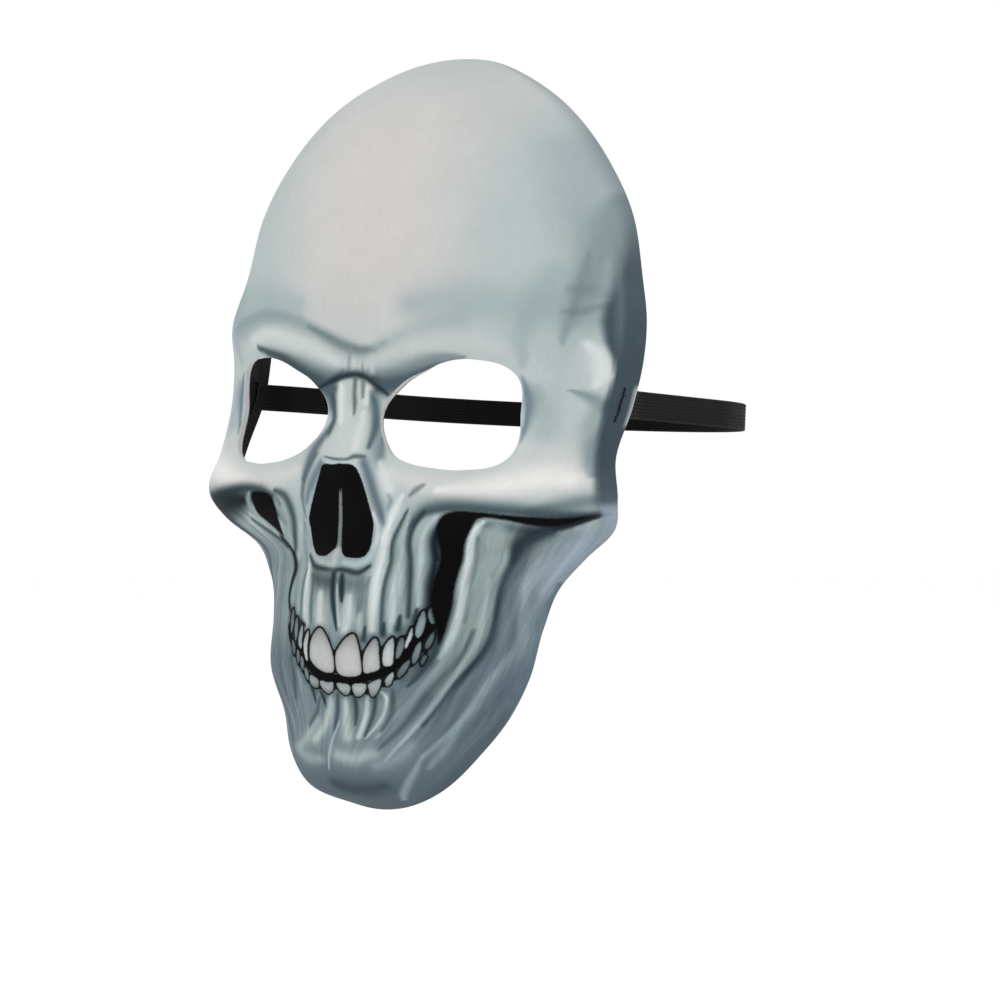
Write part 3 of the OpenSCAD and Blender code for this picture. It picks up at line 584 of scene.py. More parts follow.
LOWER_TEETH = [
    [(-21.4, -104.2), (-19.6, -104.6), (-18.4, -107.4), (-19.8, -109)],
    [(-17.6, -107.4), (-16, -107.6), (-15.4, -110.4), (-16.6, -112)],
    [(-14.9, -109.8), (-14, -109.2), (-12.8, -111.6), (-13, -114), (-14.5, -112.8)],
    [(-12.3, -113.4), (-11.5, -113), (-10.1, -114.8), (-9.9, -117.2), (-11.4, -116.4)],
    [(-9.2, -117), (-8.7, -115.4), (-5.4, -116.4), (-4.6, -117.6), (-4.5, -119.3), (-6.2, -119.6),
     (-8, -118.9)],
    [(-3.9, -117), (0, -117.4), (2.3, -117.3), (2.5, -119.6), (1, -121.2), (-1, -120.7), (-2.8, -119.2)],
    [(4.1, -117.4), (9.2, -117.7), (9.5, -120.3), (8, -121.3), (6, -120.2), (4.7, -119)],
    [(10.7, -117.5), (15.6, -117.1), (15.5, -119.5), (14, -121.2), (12, -121.5), (11, -120)],
    [(16.9, -117), (21.1, -115.2), (20.5, -118.6), (19, -121), (17.7, -121.2), (17, -119.2)],
    [(22.9, -114.9), (25.2, -112.6), (25.3, -114.6), (24.3, -117), (23.1, -117.4), (22.7, -116.2)],
    [(27, -112.2), (28.5, -109.7), (30.3, -108.2), (30, -110.6), (28.8, -113), (27.3, -114.5),
     (26.7, -113.6)],
    [(31, -107.2), (31.8, -103.7), (32.9, -101.9), (33.3, -103.7), (33, -107), (31.9, -109.4),
     (31.2, -109)],
    [(34.5, -102.8), (35.6, -99.8), (36.5, -98.3), (36.7, -100.6), (36, -103.4), (34.9, -104.4)],
    [(33.8, -108.4), (34.6, -106.5), (35.3, -107), (34.8, -109), (34, -110)],
]
# Colour of each tooth, in the order of the outlines
UPPER_TONES = [
    (112, 126, 128), (128, 140, 140), (164, 176, 176), (202, 210, 210), (186, 188, 187), (188, 189, 188),
    (186, 188, 188), (200, 206, 206), (124, 136, 138), (206, 213, 213), (150, 166, 169), (122, 141, 146),
]
LOWER_TONES = [
    (104, 117, 121), (114, 127, 130), (122, 135, 138), (134, 146, 147), (152, 162, 163), (166, 173, 173),
    (166, 175, 175), (176, 183, 183), (166, 175, 176), (168, 181, 182), (112, 125, 129), (132, 147, 150),
    (104, 119, 122), (96, 111, 115),
]
# Dark gap between the rows of teeth: points of x, z and half width
MOUTH_GAP = [
    (-24.6, -99, 0.5), (-22.6, -103, 0.8), (-19, -106, 0.8), (-14, -108.2, 0.8), (-9.5, -112, 1),
    (-4.5, -115, 1.2), (2, -115.8, 1.3), (8, -116.2, 1.2), (14, -115.2, 1.1), (19.5, -113.6, 1.1),
    (23.6, -112, 1.1), (28, -107.4, 1.2), (31, -103, 1.1), (34.2, -98.2, 1.1), (37.8, -92.5, 1.4),
    (38.6, -86, 1.6),
]
# Rims round the nose opening and the light edge of the spine, as strokes like those above
RIMS = [
    (DARK, 0.95, [(-16.4, -73.4, 0.6), (-12.4, -77, 1.2), (-4, -77.6, 1), (3, -77.6, 1), (9, -78.4, 1.1),
     (12.8, -76, 0.8)]),
    ((186, 196, 200), 0.9, [(-9.5, -39.2, 0.5), (0, -39.8, 0.7), (7, -39, 0.5)]),
    ((172, 184, 183), 0.95, [(-15.2, -70.5, 0.6), (-13.2, -74, 1), (-8.5, -75.4, 1.1), (-4, -76, 1)]),
    ((206, 213, 212), 0.95, [(14.9, -57, 0.6), (16.7, -61.6, 0.9), (16, -66.5, 0.9), (14.2, -69.6, 0.8)]),
    ((178, 193, 196), 0.95, [(2.6, -75, 0.8), (7.6, -75.5, 1), (12, -73.4, 1), (15, -69, 0.8)]),
    ((182, 188, 186), 1.0, [(-0.4, -70.4, 0.6), (-1.8, -73, 1.5), (-2.2, -75.4, 1.9)]),
]

# Border of the dark side wall, partly painted shade: height, angle round the shell, softness and strength
WALL_PRINT_AND_SHADE_BORDER = [
    (-166, 76, 7, 0.5), (-120, 76, 7, 0.2), (-75, 76, 7, 0.15), (-60, 78, 6, 0.15), (-54, 79, 4, 0.5),
    (-48, 79, 2.6, 0.9), (-40, 79.2, 2.2, 0.95), (-32, 78.4, 2, 0.95), (-26, 77.4, 1.8, 0.95),
    (-20, 76.8, 1.8, 0.95), (-15, 77.6, 1.4, 0.95), (-9, 78.8, 1.3, 0.95), (-3, 77.4, 1.5, 0.95),
    (3, 74, 1.8, 0.92), (10, 72.6, 2.4, 0.9), (15, 73.6, 2.6, 0.88), (20, 76.2, 3, 0.85),
    (25, 78, 3.5, 0.85), (30, 80.6, 4, 0.8), (40, 84, 5, 0.6), (50, 86, 7, 0.45), (60, 86, 8, 0.35),
    (107, 84, 8, 0.2),
]
# The line that the brushwork of the lower face follows: height and distance from the middle
FLOW_GUIDE = [
    (-170, 4), (-160, 7), (-150, 12), (-140, 17), (-130, 23), (-122, 29), (-114, 35), (-106, 39.5),
    (-94, 40.7), (-84, 41.2), (-76, 42.2), (-70, 45.5), (-64, 50.4), (-58, 58), (-50, 66),
]
# Shift of the streaks' pattern on the wearer's right, so that the sides differ
OTHER_SIDE = 5


def brush_flow(x, z):
    """Place across the brushwork of the lower face, and how streaky the print is there."""
    guide = np.interp(z, *zip(*FLOW_GUIDE))
    half = section(latitude(z))[0]
    away = np.abs(x)
    flow = np.where(away < guide, away / guide, 1 + (away - guide) / np.maximum(half - guide, 1))
    flow = np.clip(flow, 0, 2) + np.where(x < 0, OTHER_SIDE, 0)
    streaky = smooth(-52, -64, z) * smooth(-156, -128, z)
    return flow, streaky * smooth(12, 20, away + np.maximum(0, -76 - z) * 2)


def soft_print(x, z, sweep):
    """Print colour without crisp shapes: base, washes, strokes and the dark side wall, partly painted shade.
    """
    levels, tones = zip(*BASE[::-1])
    colour = np.stack([np.interp(z, levels, channel) for channel in zip(*tones)], 1)
    turned = np.abs(sweep)

    def cover(amount, tone):
        nonlocal colour
        colour = colour + amount[:, None] * (np.asarray(tone, float) - colour)

    # washes: the warm forehead, the temples and the sides of the chin
    cover(np.exp(-((x - 8) / 40) ** 4 - ((z - 52) / 52) ** 4), WARM)
    cover(0.5 * smooth(35, 75, np.abs(x)) * smooth(20, 50, z), TEMPLE_WASH)
    cover(0.7 * smooth(16, 34, np.abs(x - 4)) * smooth(-96, -116, z), CHIN_WASH)
    for tone, strength, stroke, *lean in BOTH_SIDES:
        cover(strength * stroke_cover(x, z, stroke, *lean), tone)
        # below the cheekbone the strokes are weaker on the wearer's right
        cover(strength * np.where(z < -60, 0.75, 1) * stroke_cover(-x, z, stroke, *lean), tone)
    # the smooth side of the jaw on the wearer's right
    cover(0.45 * smooth(-26, -36, x) * smooth(-62, -76, z), JAW_WASH)
    for tone, strength, stroke, *lean in ONE_SIDE + RIMS:
        cover(strength * stroke_cover(x, z, stroke, *lean), tone)
    # the shell's side wall is printed dark and deepened with painted shade, with a crisp border by the
    # temple
    levels, *columns = zip(*WALL_PRINT_AND_SHADE_BORDER)
    turn, span, strength = (np.interp(z, levels, column) for column in columns)
    cover(smooth(turn - span, turn + span, turned) * strength, WALL_PRINT_AND_SHADE_TONE)
    # a grey band along the wall's border, and the pale edge in front of the elastic
    cover(0.5 * np.exp(-((turned - 79.4) / 1.9) ** 2) * smooth(-8, 12, z) * smooth(50, 26, z), BORDER_TONE)
    cover(0.75 * smooth(89.5, 90, turned) * smooth(-28, -25, z) * smooth(-11, -14, z), EDGE_TONE)
    # the wall is paler again under the cheekbone, from a lower start on the wearer's right
    below_bone = np.where(sweep > 0, smooth(-52, -55.5, z), smooth(-60, -66, z))
    cover(0.85 * smooth(79, 83, turned) * below_bone * smooth(-82, -70, z), UNDER_BONE_TONE)
    return np.clip(colour, 0, 255)


def tooth_print(x, z):
    """Crisp distances to every second tooth of each row, and the colour of the nearest tooth."""
    distances = {}
    colour = np.tile(np.asarray(TOOTH_EDGE_TONE, float), (len(x), 1))
    nearest = np.full(len(x), 3.0)
    for row, outlines, tones in (("upper", UPPER_TEETH, UPPER_TONES), ("lower", LOWER_TEETH, LOWER_TONES)):
        away = [outline_distance(x, z, outline, 6, 3) for outline in outlines]
        distances[f"{row}_odd"] = np.min(away[0::2], axis=0)
        distances[f"{row}_even"] = np.min(away[1::2], axis=0)
        for outline, distance, tone in zip(outlines, away, tones):
            closer = distance < nearest
            low, high = min(q for _, q in outline), max(q for _, q in outline)
            root = (high - z[closer] if row == "upper" else z[closer] - low) / (high - low)
            colour[closer] = np.asarray(tone) * (0.84 + 0.16 * smooth(0, 0.55, root))[:, None]
            nearest = np.minimum(nearest, distance)
    return distances, colour


def mouth_distance(x, z):
    """Signed distance in mm to the dark gap between the rows of teeth; far places get 6."""
    path = curve_through(MOUTH_GAP)
    found = np.full(len(x), 6.0)
    near = places_between(x, z, (-38, -124), (46, -80))
    for start, end in zip(path[:-1], path[1:]):
        share, away = near_segment(x[near], z[near], start, end)
        half_wide = start[2] + share * (end[2] - start[2])
        found[near] = np.minimum(found[near], np.sqrt(away) - half_wide)
    return found


def print_values(points, sweep):
    """Soft colours and crisp distances of the print at points of the face."""
    x, z = points[:, 0], points[:, 2]
    nose_right, nose_left, nose_top, hollow, far_hollow = (
        outline_distance(x, z, outline)
        for outline in (NOSE_RIGHT, NOSE_LEFT, NOSE_TOP, CHEEK_HOLLOW, FAR_HOLLOW))
    flow, streaky = brush_flow(x, z)
    teeth, tooth_colour = tooth_print(x, z)
    return {
        "flow": flow, "streaky": streaky,
        "paint": PRINT_LEVEL * linear(soft_print(x, z, sweep)),
        "tooth_paint": PRINT_LEVEL * linear(tooth_colour),
        **teeth,
        "mouth": mouth_distance(x, z), "hollow": np.minimum(hollow, far_hollow),
        "nose_right": np.minimum(nose_right, nose_top), "nose_left": nose_left,
        "septum": smooth(2.2, 1.2, np.abs(x - 0.3)) * smooth(-41, -47, z) * smooth(-71, -69, z),
    }


# ---------------------------------------------------------------- shell layers
# The hidden back of a fine layer keeps every third line of its front
BACK_SKIP = 3


def steps_between(parts):
    """Grid places from (coarse start, coarse end, steps per coarse cell)."""
    out = [np.arange((end - start) * count) / count + start for start, end, count in parts]
    return np.concatenate(out + [[parts[-1][1]]])


def shell_grid(fine):
    """Column and row places of a layer: fine round the print's lines, or coarse."""
    if fine:
        half = steps_between([(0, 1, 24), (1, 6, 12), (6, 8, 9), (8, 13, 6), (13, 15, 3)])
        rows = steps_between([(0, 20, 3), (20, 23, 9), (23, 39, 12), (39, 46, 6), (46, 52, 3)])
    else:
        half = steps_between([(0, 8, 4), (8, 15, 2)])
        rows = steps_between([(0, 22, 1.5), (22, 28, 3), (28, 39, 4), (39, 52, 2)])
    return np.concatenate([-half[:0:-1], half]), rows


def cells_kept(columns, rows):
    """Which cells between the given lines belong to the shell and not to an eye hole."""
    mid_i = np.abs((columns[:-1] + columns[1:]) / 2)
    mid_j = (rows[:-1] + rows[1:]) / 2
    open_i = (mid_i > EYE_COLS[0]) & (mid_i < EYE_COLS[1])
    open_j = (mid_j > EYE_ROWS[0]) & (mid_j < EYE_ROWS[1])
    return ~(open_j[:, None] & open_i[None, :])


def sheet_faces(ids, columns, rows, skip):
    """Faces over every skip-th line of the grid; along a cut edge they keep all its points."""
    keep = cells_kept(columns[::skip], rows[::skip])
    last_j, last_i = keep.shape
    faces = []
    for j, i in np.argwhere(keep):
        r, c = j * skip, i * skip
        sides = [
            (ids[r, c:c + skip], j > 0 and not keep[j - 1, i]),
            (ids[r:r + skip, c + skip], i + 1 == last_i or not keep[j, i + 1]),
            (ids[r + skip, c + skip:c:-1], j + 1 < last_j and not keep[j + 1, i]),
            (ids[r + skip:r:-1, c], i == 0 or not keep[j, i - 1]),
        ]
        ring = [int(v) for side, cut in sides for v in (side if cut else side[:1])]
        faces.append([v for k, v in enumerate(ring) if v != ring[k - 1]])
    return faces


def shell_layer(name, outer_depth, inner_depth, fine):
    """Closed sheet between two depths below the face, with the eye holes cut through it.

    Returns the object, its face points without depth, and their sweeps. A fine layer's hidden back
    is coarser than its front. The faces of the cut edges are in material slot 1.
    """
    columns, rows = shell_grid(fine)
    grid_i, grid_j = np.meshgrid(columns, rows[1:-1])
    sweep, lat = grid_angles(grid_i.ravel(), grid_j.ravel())
    sweep = np.concatenate([[0, 0], sweep])
    lat = np.concatenate([[0, 180], lat])
    points, normals = face_point(sweep, lat), face_normal(sweep, lat)
    size, wide = len(points), len(columns)
    ids = np.zeros((len(rows), wide), int)
    ids[0], ids[-1] = 0, 1
    ids[1:-1] = 2 + np.arange((len(rows) - 2) * wide).reshape(len(rows) - 2, wide)

    front = [face[::-1] for face in sheet_faces(ids, columns, rows, 1)]
    back = [[v + size for v in face] for face in sheet_faces(ids, columns, rows, BACK_SKIP if fine else 1)]
    cut = boundary_edges(front)
    walls = [[b, a, a + size, b + size] for a, b in cut]
    faces = front + back + walls
    used = np.unique(np.concatenate([np.asarray(face) for face in faces]))
    number = {int(v): k for k, v in enumerate(used)}
    places = np.vstack([points - outer_depth * normals, points - inner_depth * normals])[used]
    made = mesh_object(name, places, [[number[v] for v in face] for face in faces])
    slots = [0] * (len(front) + len(back)) + [1] * len(walls)
    made.data.polygons.foreach_set("material_index", slots)
    mark_sharp(made, {frozenset((number[a + side], number[b + side])) for a, b in cut for side in (0, size)})
    return made, np.vstack([points, points])[used], np.concatenate([sweep, sweep])[used]


def boundary_edges(faces):
    """Directed edges that only one face uses."""
    used = {(face[k - 1], face[k]) for face in faces for k in range(len(face))}
    return sorted(edge for edge in used if edge[::-1] not in used)


# ---------------------------------------------------------------- material helpers
class Nodes:
    """Short calls for building a material's node tree."""

    def __init__(self, name):
        self.material = bpy.data.materials.new(name)
        self.material.use_nodes = True
        self.tree = self.material.node_tree

    def feed(self, node, values):
        """Links or sets the node's inputs, by name or number; an input given None is left as it is."""
        for key, value in values.items():
            if isinstance(value, bpy.types.NodeSocket):
                self.tree.links.new(value, node.inputs[key])
            elif value is not None:
                node.inputs[key].default_value = value

    def node(self, kind, values, output=0, **settings):
        """One output of a new node with these inputs."""
        made = self.tree.nodes.new(kind)
        for key, value in settings.items():
            setattr(made, key, value)
        self.feed(made, values)
        return made.outputs[output]

    def math(self, operation, *values):
        return self.node("ShaderNodeMath", dict(enumerate(values)), operation=operation)

    def nearest(self, *values):
        """The least of several values."""
        found = values[0]
        for value in values[1:]:
            found = self.math("MINIMUM", found, value)
        return found

    def value(self, name):
        return self.node("ShaderNodeAttribute", {}, "Fac", attribute_name=name)

    def colour(self, name):
        return self.node("ShaderNodeAttribute", {}, "Color", attribute_name=name)

    def ramp(self, value, low, high):
        """0 at low, 1 at high, smooth between; low may be above high."""
        if low > high:
            return self.math("SUBTRACT", 1, self.ramp(value, high, low))
        limits = {"Value": value, "From Min": low, "From Max": high}
        return self.node("ShaderNodeMapRange", limits, "Result", interpolation_type="SMOOTHSTEP")

    def mix(self, amount, a, b):
        """From colour a to colour b; a colour is a socket, or sRGB from 0 to 255."""
        a, b = (tone if isinstance(tone, bpy.types.NodeSocket) else (*linear(tone), 1) for tone in (a, b))
        return self.node("ShaderNodeMix", {"Factor": amount, 6: a, 7: b}, 2, data_type="RGBA")

    def scaled(self, colour, amount):
        """Colour times a value."""
        return self.node("ShaderNodeVectorMath", {0: colour, "Scale": amount}, operation="SCALE")

    def place(self):
        """The mesh's own coordinates, in metres."""
        return self.node("ShaderNodeTexCoord", {}, "Object")

    def axis(self, vector, letter):
        """One coordinate of a vector."""
        return self.node("ShaderNodeSeparateXYZ", {0: vector}, letter)

    def stretched(self, vector, scale):
        return self.node("ShaderNodeMapping", {"Vector": vector, "Scale": scale})

    def noise(self, vector, per_metre, detail=2.0, roughness=0.5):
        return self.node("ShaderNodeTexNoise", {
            "Vector": vector, "Scale": per_metre, "Detail": detail, "Roughness": roughness})

    def cells(self, vector, per_metre, feature):
        """Distance within a pattern of cells."""
        cell = {"Vector": vector, "Scale": per_metre}
        return self.node("ShaderNodeTexVoronoi", cell, "Distance", feature=feature)

    def spread(self, value, low, high):
        """A 0 to 1 value as one from low to high."""
        return self.math("MULTIPLY_ADD", value, high - low, low)

    def bump(self, height, distance, strength=1.0, normal=None):
        return self.node("ShaderNodeBump", {
            "Height": height, "Distance": distance, "Strength": strength, "Normal": normal})

    def finish(self, colour, roughness, normal=None, **fixed):
        """Links the shader; fixed values are set on its own inputs."""
        self.feed(self.tree.nodes["Principled BSDF"], {
            "Base Color": colour, "Roughness": roughness, "Normal": normal,
            **{key.replace("_", " "): value for key, value in fixed.items()}})
        return self.material


# ---------------------------------------------------------------- materials of the shell
def brushed_paint(n, place):
    """The soft print with fine streaks, clouds and, on the lower face, streaks along the brushwork."""
    streaks = n.noise(n.stretched(place, (1, 0.5, 0.3)), 800, 4, 0.6)
    clouds = n.noise(place, 55, 3, 0.55)
    paint = n.scaled(n.colour("paint"), n.spread(streaks, 0.94, 1.06))
    paint = n.scaled(paint, n.spread(clouds, 0.94, 1.06))
    along = n.node("ShaderNodeCombineXYZ", {
        "X": n.value("flow"), "Y": n.math("MULTIPLY", n.axis(place, "Z"), 2.2)})
    broad = n.ramp(n.noise(along, 10), 0.3, 0.7)
    crease = n.ramp(n.math("ABSOLUTE", n.math("SUBTRACT", n.noise(along, 26), 0.5)), 0.0, 0.06)
    flowing = n.math("MULTIPLY", n.spread(broad, 0.84, 1.16), n.spread(crease, 0.91, 1.02))
    amount = n.value("streaky")
    flowing = n.math("ADD", n.math("MULTIPLY", amount, flowing), n.math("SUBTRACT", 1, amount))
    return n.scaled(paint, flowing)


def printed_cloth():
    """Brushed print on a fine knitted face cloth."""
    n = Nodes("printed_cloth")
    place = n.place()
    wobble = n.math("SUBTRACT", n.noise(place, 900), 0.5)

    def distance(*names):
        """Nearest of several crisp distances, with a slightly uneven edge."""
        return n.math("MULTIPLY_ADD", wobble, 0.5, n.nearest(*(n.value(name) for name in names)))

    # teeth: shade round them, a dark line, darker valleys where two meet, and the enamel
    upper, lower = ("upper_odd", "upper_even"), ("lower_odd", "lower_even")
    teeth = distance(*upper, *lower)
    line = n.math("MAXIMUM", n.ramp(distance(*upper), 1.2, 0.6), n.ramp(distance(*lower), 0.95, 0.35))
    between = n.nearest(*(n.math("ADD", n.value(odd), n.value(even)) for odd, even in (upper, lower)))
    line = n.math("MAXIMUM", line, n.ramp(between, 2.9, 2.1))
    rounding = n.math("MULTIPLY", n.spread(n.ramp(teeth, -0.1, -1.3), 0.86, 1.0),
                      n.spread(n.ramp(teeth, 0.0, -3.4), 0.9, 1.06))
    grain = n.noise(n.stretched(place, (1, 1, 0.3)), 420, 3)
    enamel = n.scaled(n.scaled(n.colour("tooth_paint"), rounding), n.spread(grain, 0.86, 1.06))
    colour = n.mix(n.math("MULTIPLY", n.ramp(teeth, 3.0, 0.8), 0.4), brushed_paint(n, place), DARK)
    colour = n.mix(line, colour, LINE_INK)
    colour = n.mix(n.ramp(distance("mouth"), 0.85, 0.15), colour, INK)
    colour = n.mix(n.ramp(teeth, 0.3, -0.3), colour, enamel)

    # the printed hollows: cheeks, and the nose with its grey septum
    colour = n.mix(n.ramp(distance("hollow"), 0.7, -0.7), colour, INK)
    nose = distance("nose_left", "nose_right")
    colour = n.mix(n.math("MULTIPLY", n.ramp(nose, 1.6, 0.2), n.value("septum")), colour, SEPTUM)
    colour = n.mix(n.ramp(nose, 0.3, -0.3), colour, INK)

    height = n.math("MULTIPLY_ADD", n.noise(place, 3600), 0.6, n.cells(place, 2100, "F1"))
    normal = n.bump(height, 0.00012, 0.35, n.bump(n.noise(place, 70), 0.0006, 0.25))
    rough = n.spread(n.noise(place, 420, 3), 0.62, 0.8)
    return n.finish(colour, rough, normal, Sheen_Weight=0.01, Sheen_Roughness=0.4, Specular_IOR_Level=0.05)


def cut_edge(name, tone):
    """Raw, slightly fuzzy edge of a die-cut layer."""
    n = Nodes(name)
    grain = n.noise(n.place(), 1900, 4, 0.65)
    colour = n.mix(n.ramp(grain, 0.35, 0.7), [0.88 * c for c in tone], tone)
    normal = n.bump(grain, 0.00025, 0.8)
    return n.finish(colour, n.spread(grain, 0.8, 0.95), normal, Sheen_Weight=0.25, Specular_IOR_Level=0.2)


def foam():
    """Open cells of the foam core."""
    n = Nodes("foam")
    place = n.place()
    wall = n.ramp(n.cells(place, 2400, "DISTANCE_TO_EDGE"), 0.0, 0.14)
    colour = n.mix(n.math("MULTIPLY", wall, 0.45), (222, 224, 222), (150, 154, 154))
    normal = n.bump(wall, 0.0002, 0.7)
    return n.finish(colour, n.spread(n.noise(place, 800), 0.8, 0.95), normal, Specular_IOR_Level=0.2)


def knitted_lining():
    """Black warp-knit lining: fine ribs of loops that run down the shell."""
    n = Nodes("lining")
    place = n.place()
    rib, stitch = (n.math("SINE", n.math("MULTIPLY", n.axis(place, letter), 2 * math.pi / pitch))
                   for letter, pitch in (("X", 1.1 * MM), ("Z", 0.8 * MM)))
    loops = n.math("MULTIPLY_ADD", stitch, 0.35, rib)
    fuzz = n.noise(place, 1500, 3)
    dark = n.mix(n.ramp(loops, -0.9, 1.1), (18, 18, 20), (27, 27, 30))
    colour = n.scaled(dark, n.spread(n.noise(place, 40, 3), 0.75, 1.3))
    normal = n.bump(n.math("MULTIPLY_ADD", fuzz, 0.5, loops), 0.00015, 0.45)
    return n.finish(colour, n.spread(fuzz, 0.75, 0.95), normal, Sheen_Weight=0.06, Sheen_Roughness=0.5,
                    Specular_IOR_Level=0.12)


def make_shell():
    """The three laminated layers, each standing for its CAD node."""
    face, points, sweep = shell_layer("printed_face_cloth", 0, CLOTH_T, True)
    for key, values in print_values(points, sweep).items():
        add_values(face, key, values)
    core, _, _ = shell_layer("foam_layer", CLOTH_T, CLOTH_T + FOAM_T, False)
    lining, _, _ = shell_layer("knitted_lining", CLOTH_T + FOAM_T, SHELL_T, False)
    coats = {
        face: ("printed_face", "printed_cloth", printed_cloth(), cut_edge("face_cut_edge", (214, 217, 216))),
        core: ("foam_core", "foam", foam(), cut_edge("foam_cut_edge", (206, 209, 207))),
        lining: ("inner_lining", "lining", knitted_lining(), cut_edge("lining_cut_edge", (34, 34, 37))),
    }
    for piece, (node, slot, *materials) in coats.items():
        for material in materials:
            piece.data.materials.append(material)
        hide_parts(node)
        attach(piece, "mask_shell")


# ---------------------------------------------------------------- elastic
BAND_W, BAND_T = 10.0, 1.2
RIBS, RIB_POINTS, RIB_DEPTH = 8, 4, 0.22
HINGE = Vector(JOINTS["strap_swing"]["pos_m"]) / MM
LOOP_R, LOOP_STEPS = 77.0, 140
# The path's step, the least step kept, how far the sewn part ends ahead of the hinge and where on
# its straight run the free part starts
BAND_STEP, SHORTEST_STEP, SEWN_SHORT, FREE_START = 0.8, 0.2, 4, 10
# A length ahead of the hinge, and the length behind it at which the elastic's ends give way to the loop
BEND_AHEAD, BEND_LENGTH = 2.6, 14
BRAID_PITCH = 0.75


def temple_x(y, z):
    """Half width of the face beside the temple at a depth and height, straight on past its edge."""
    half, edge, middle, square = section(latitude(z))
    q = np.maximum(0, edge - y) / (edge - middle)
    return half * (1 - q**square) ** (1 / square)


def band_profile():
    """Cross-section of the ribbed elastic: place across it, depth from its middle, round the loop."""
    count = RIBS * RIB_POINTS
    across = (np.arange(count + 1) / count - 0.5) * BAND_W
    swell = np.abs(np.sin(np.pi * RIBS * (across / BAND_W + 0.5)))
    side = BAND_T / 2 - RIB_DEPTH + RIB_DEPTH * swell**0.7
    side[0] = side[-1] = 0.25
    return np.vstack([np.stack([across, side], 1), np.stack([across[::-1], -side[::-1]], 1)])


def sweep_band(name, centres, outs, ups):
    """Ribbed elastic along centres in mm; outs point through its thickness, ups across its width.

    Keeps the length along the band and the place across it, for the weave. Its two end faces are
    flat with crisp edges, so that a joined band shows no line.
    """
    profile = band_profile()
    n, m = len(centres), len(profile)
    points = centres[:, None] + outs[:, None] * profile[None, :, 1:] + ups[:, None] * profile[None, :, :1]
    faces = [[i * m + k, (i + 1) * m + k, (i + 1) * m + (k + 1) % m, i * m + (k + 1) % m]
             for i in range(n - 1) for k in range(m)]
    faces += [list(range(m)), [(n - 1) * m + k for k in reversed(range(m))]]
    if np.dot(np.cross(centres[1] - centres[0], ups[0]), outs[0]) < 0:
        faces = [face[::-1] for face in faces]
    made = mesh_object(name, points.reshape(-1, 3), faces)
    for cap in made.data.polygons[-2:]:
        cap.use_smooth = False
    mark_sharp(made, {frozenset((cap[k - 1], cap[k])) for cap in faces[-2:] for k in range(m)})
    along = np.concatenate([[0], np.cumsum(np.linalg.norm(np.diff(centres, axis=0), axis=1))])
    add_values(made, "along", np.repeat(along, m))
    add_values(made, "across", np.tile(profile[:, 0], n))
    return made


def elastic():
    """Black braided elastic: ribs lengthwise, with slanting threads across each."""
    n = Nodes("elastic")
    rib = n.math("PINGPONG", n.math("ADD", n.value("across"), BAND_W), BAND_W / RIBS / 2)
    slant = n.math("MULTIPLY_ADD", rib, 0.9, n.value("along"))
    braid = n.math("SINE", n.math("MULTIPLY", slant, 2 * math.pi / BRAID_PITCH))
    groove = n.ramp(rib, 0.0, 0.28)
    hair = n.noise(n.place(), 2600, 3)
    # painted shade: the grooves between the ribs are coloured darker than the ribs
    colour = n.scaled(n.mix(groove, (3, 3, 3), (15, 14, 14)), n.spread(hair, 0.6, 1.4))
    height = n.math("MULTIPLY_ADD", braid, 0.5, n.math("MULTIPLY", hair, 0.7))
    normal = n.bump(n.math("ADD", height, groove), 0.00016, 0.7)
    return n.finish(colour, n.spread(hair, 0.6, 0.9), normal, Sheen_Weight=0.02, Sheen_Roughness=0.4,
                    Specular_IOR_Level=0.1)


def band_path():
    """Middle line of the elastic on the wearer's left, from its sewn end to the back of the head.

    Returns centres, outward and upward directions as one array, in mm, with X positive.
    """
    pull = Vector(JOINTS["strap_stretch"]["axis"])
    tilt = math.atan2(-pull.z, pull.y)
    sewn_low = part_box("left_strap_tail")[0] / MM
    back_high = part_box("strap_back")[1] / MM
    box_x = (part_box("left_strap_side")[1] / MM).x
    loop_len = (back_high.y - BAND_W / 2 * math.sin(tilt) - HINGE.y) / math.cos(tilt)
    loop_mid = loop_len - LOOP_R
    # the box takes in the band's round end, so the start lies half a width's slant inside it
    start = box_x
    for _ in range(4):
        reach = math.hypot(start, loop_mid)
        meet = math.acos(LOOP_R / reach) - math.atan2(loop_mid, start)
        start = box_x - BAND_W / 2 * math.sin(meet)
    run = math.sqrt(reach**2 - LOOP_R**2)
    middle_r = LOOP_R - BAND_T / 2

    def outside(x, y):
        """World place of a place in the loop's tilted plane."""
        return np.array([x, HINGE.y + y * math.cos(tilt), HINGE.z - y * math.sin(tilt)])

    sewn = []
    for y in np.arange(sewn_low.y, HINGE.y - SEWN_SHORT, BAND_STEP):
        z = HINGE.z - (y - HINGE.y) * math.tan(tilt)
        sewn.append(np.array([float(temple_x(y, z)) - SHELL_T - BAND_T / 2, y, z]))
    free = [outside(start - BAND_T / 2 * math.cos(meet) - length * math.sin(meet),
                    length * math.cos(meet) - BAND_T / 2 * math.sin(meet))
            for length in np.arange(FREE_START, run, BAND_STEP)]
    loop = [outside(middle_r * math.cos(turn), loop_mid + middle_r * math.sin(turn))
            for turn in np.linspace(meet, math.pi / 2, LOOP_STEPS)]
    # between the sewn end and the free run the band bends evenly
    gap = np.linalg.norm(free[0] - sewn[-1])
    leave, arrive = (sewn[-1] - sewn[-2]) / BAND_STEP * gap, (free[1] - free[0]) / BAND_STEP * gap
    bend = [hermite(sewn[-1], free[0], leave, arrive, s) for s in np.arange(BAND_STEP, gap, BAND_STEP) / gap]
    path = np.array(sewn + bend + free + loop)
    apart = np.linalg.norm(np.diff(path, axis=0), axis=1)
    path = path[np.concatenate([[True], apart > SHORTEST_STEP])]
    along = unit(np.gradient(path, axis=0))
    outs = unit(np.cross(along, [0, math.sin(tilt), math.cos(tilt)]))
    return np.stack([path, outs, np.cross(outs, along)])


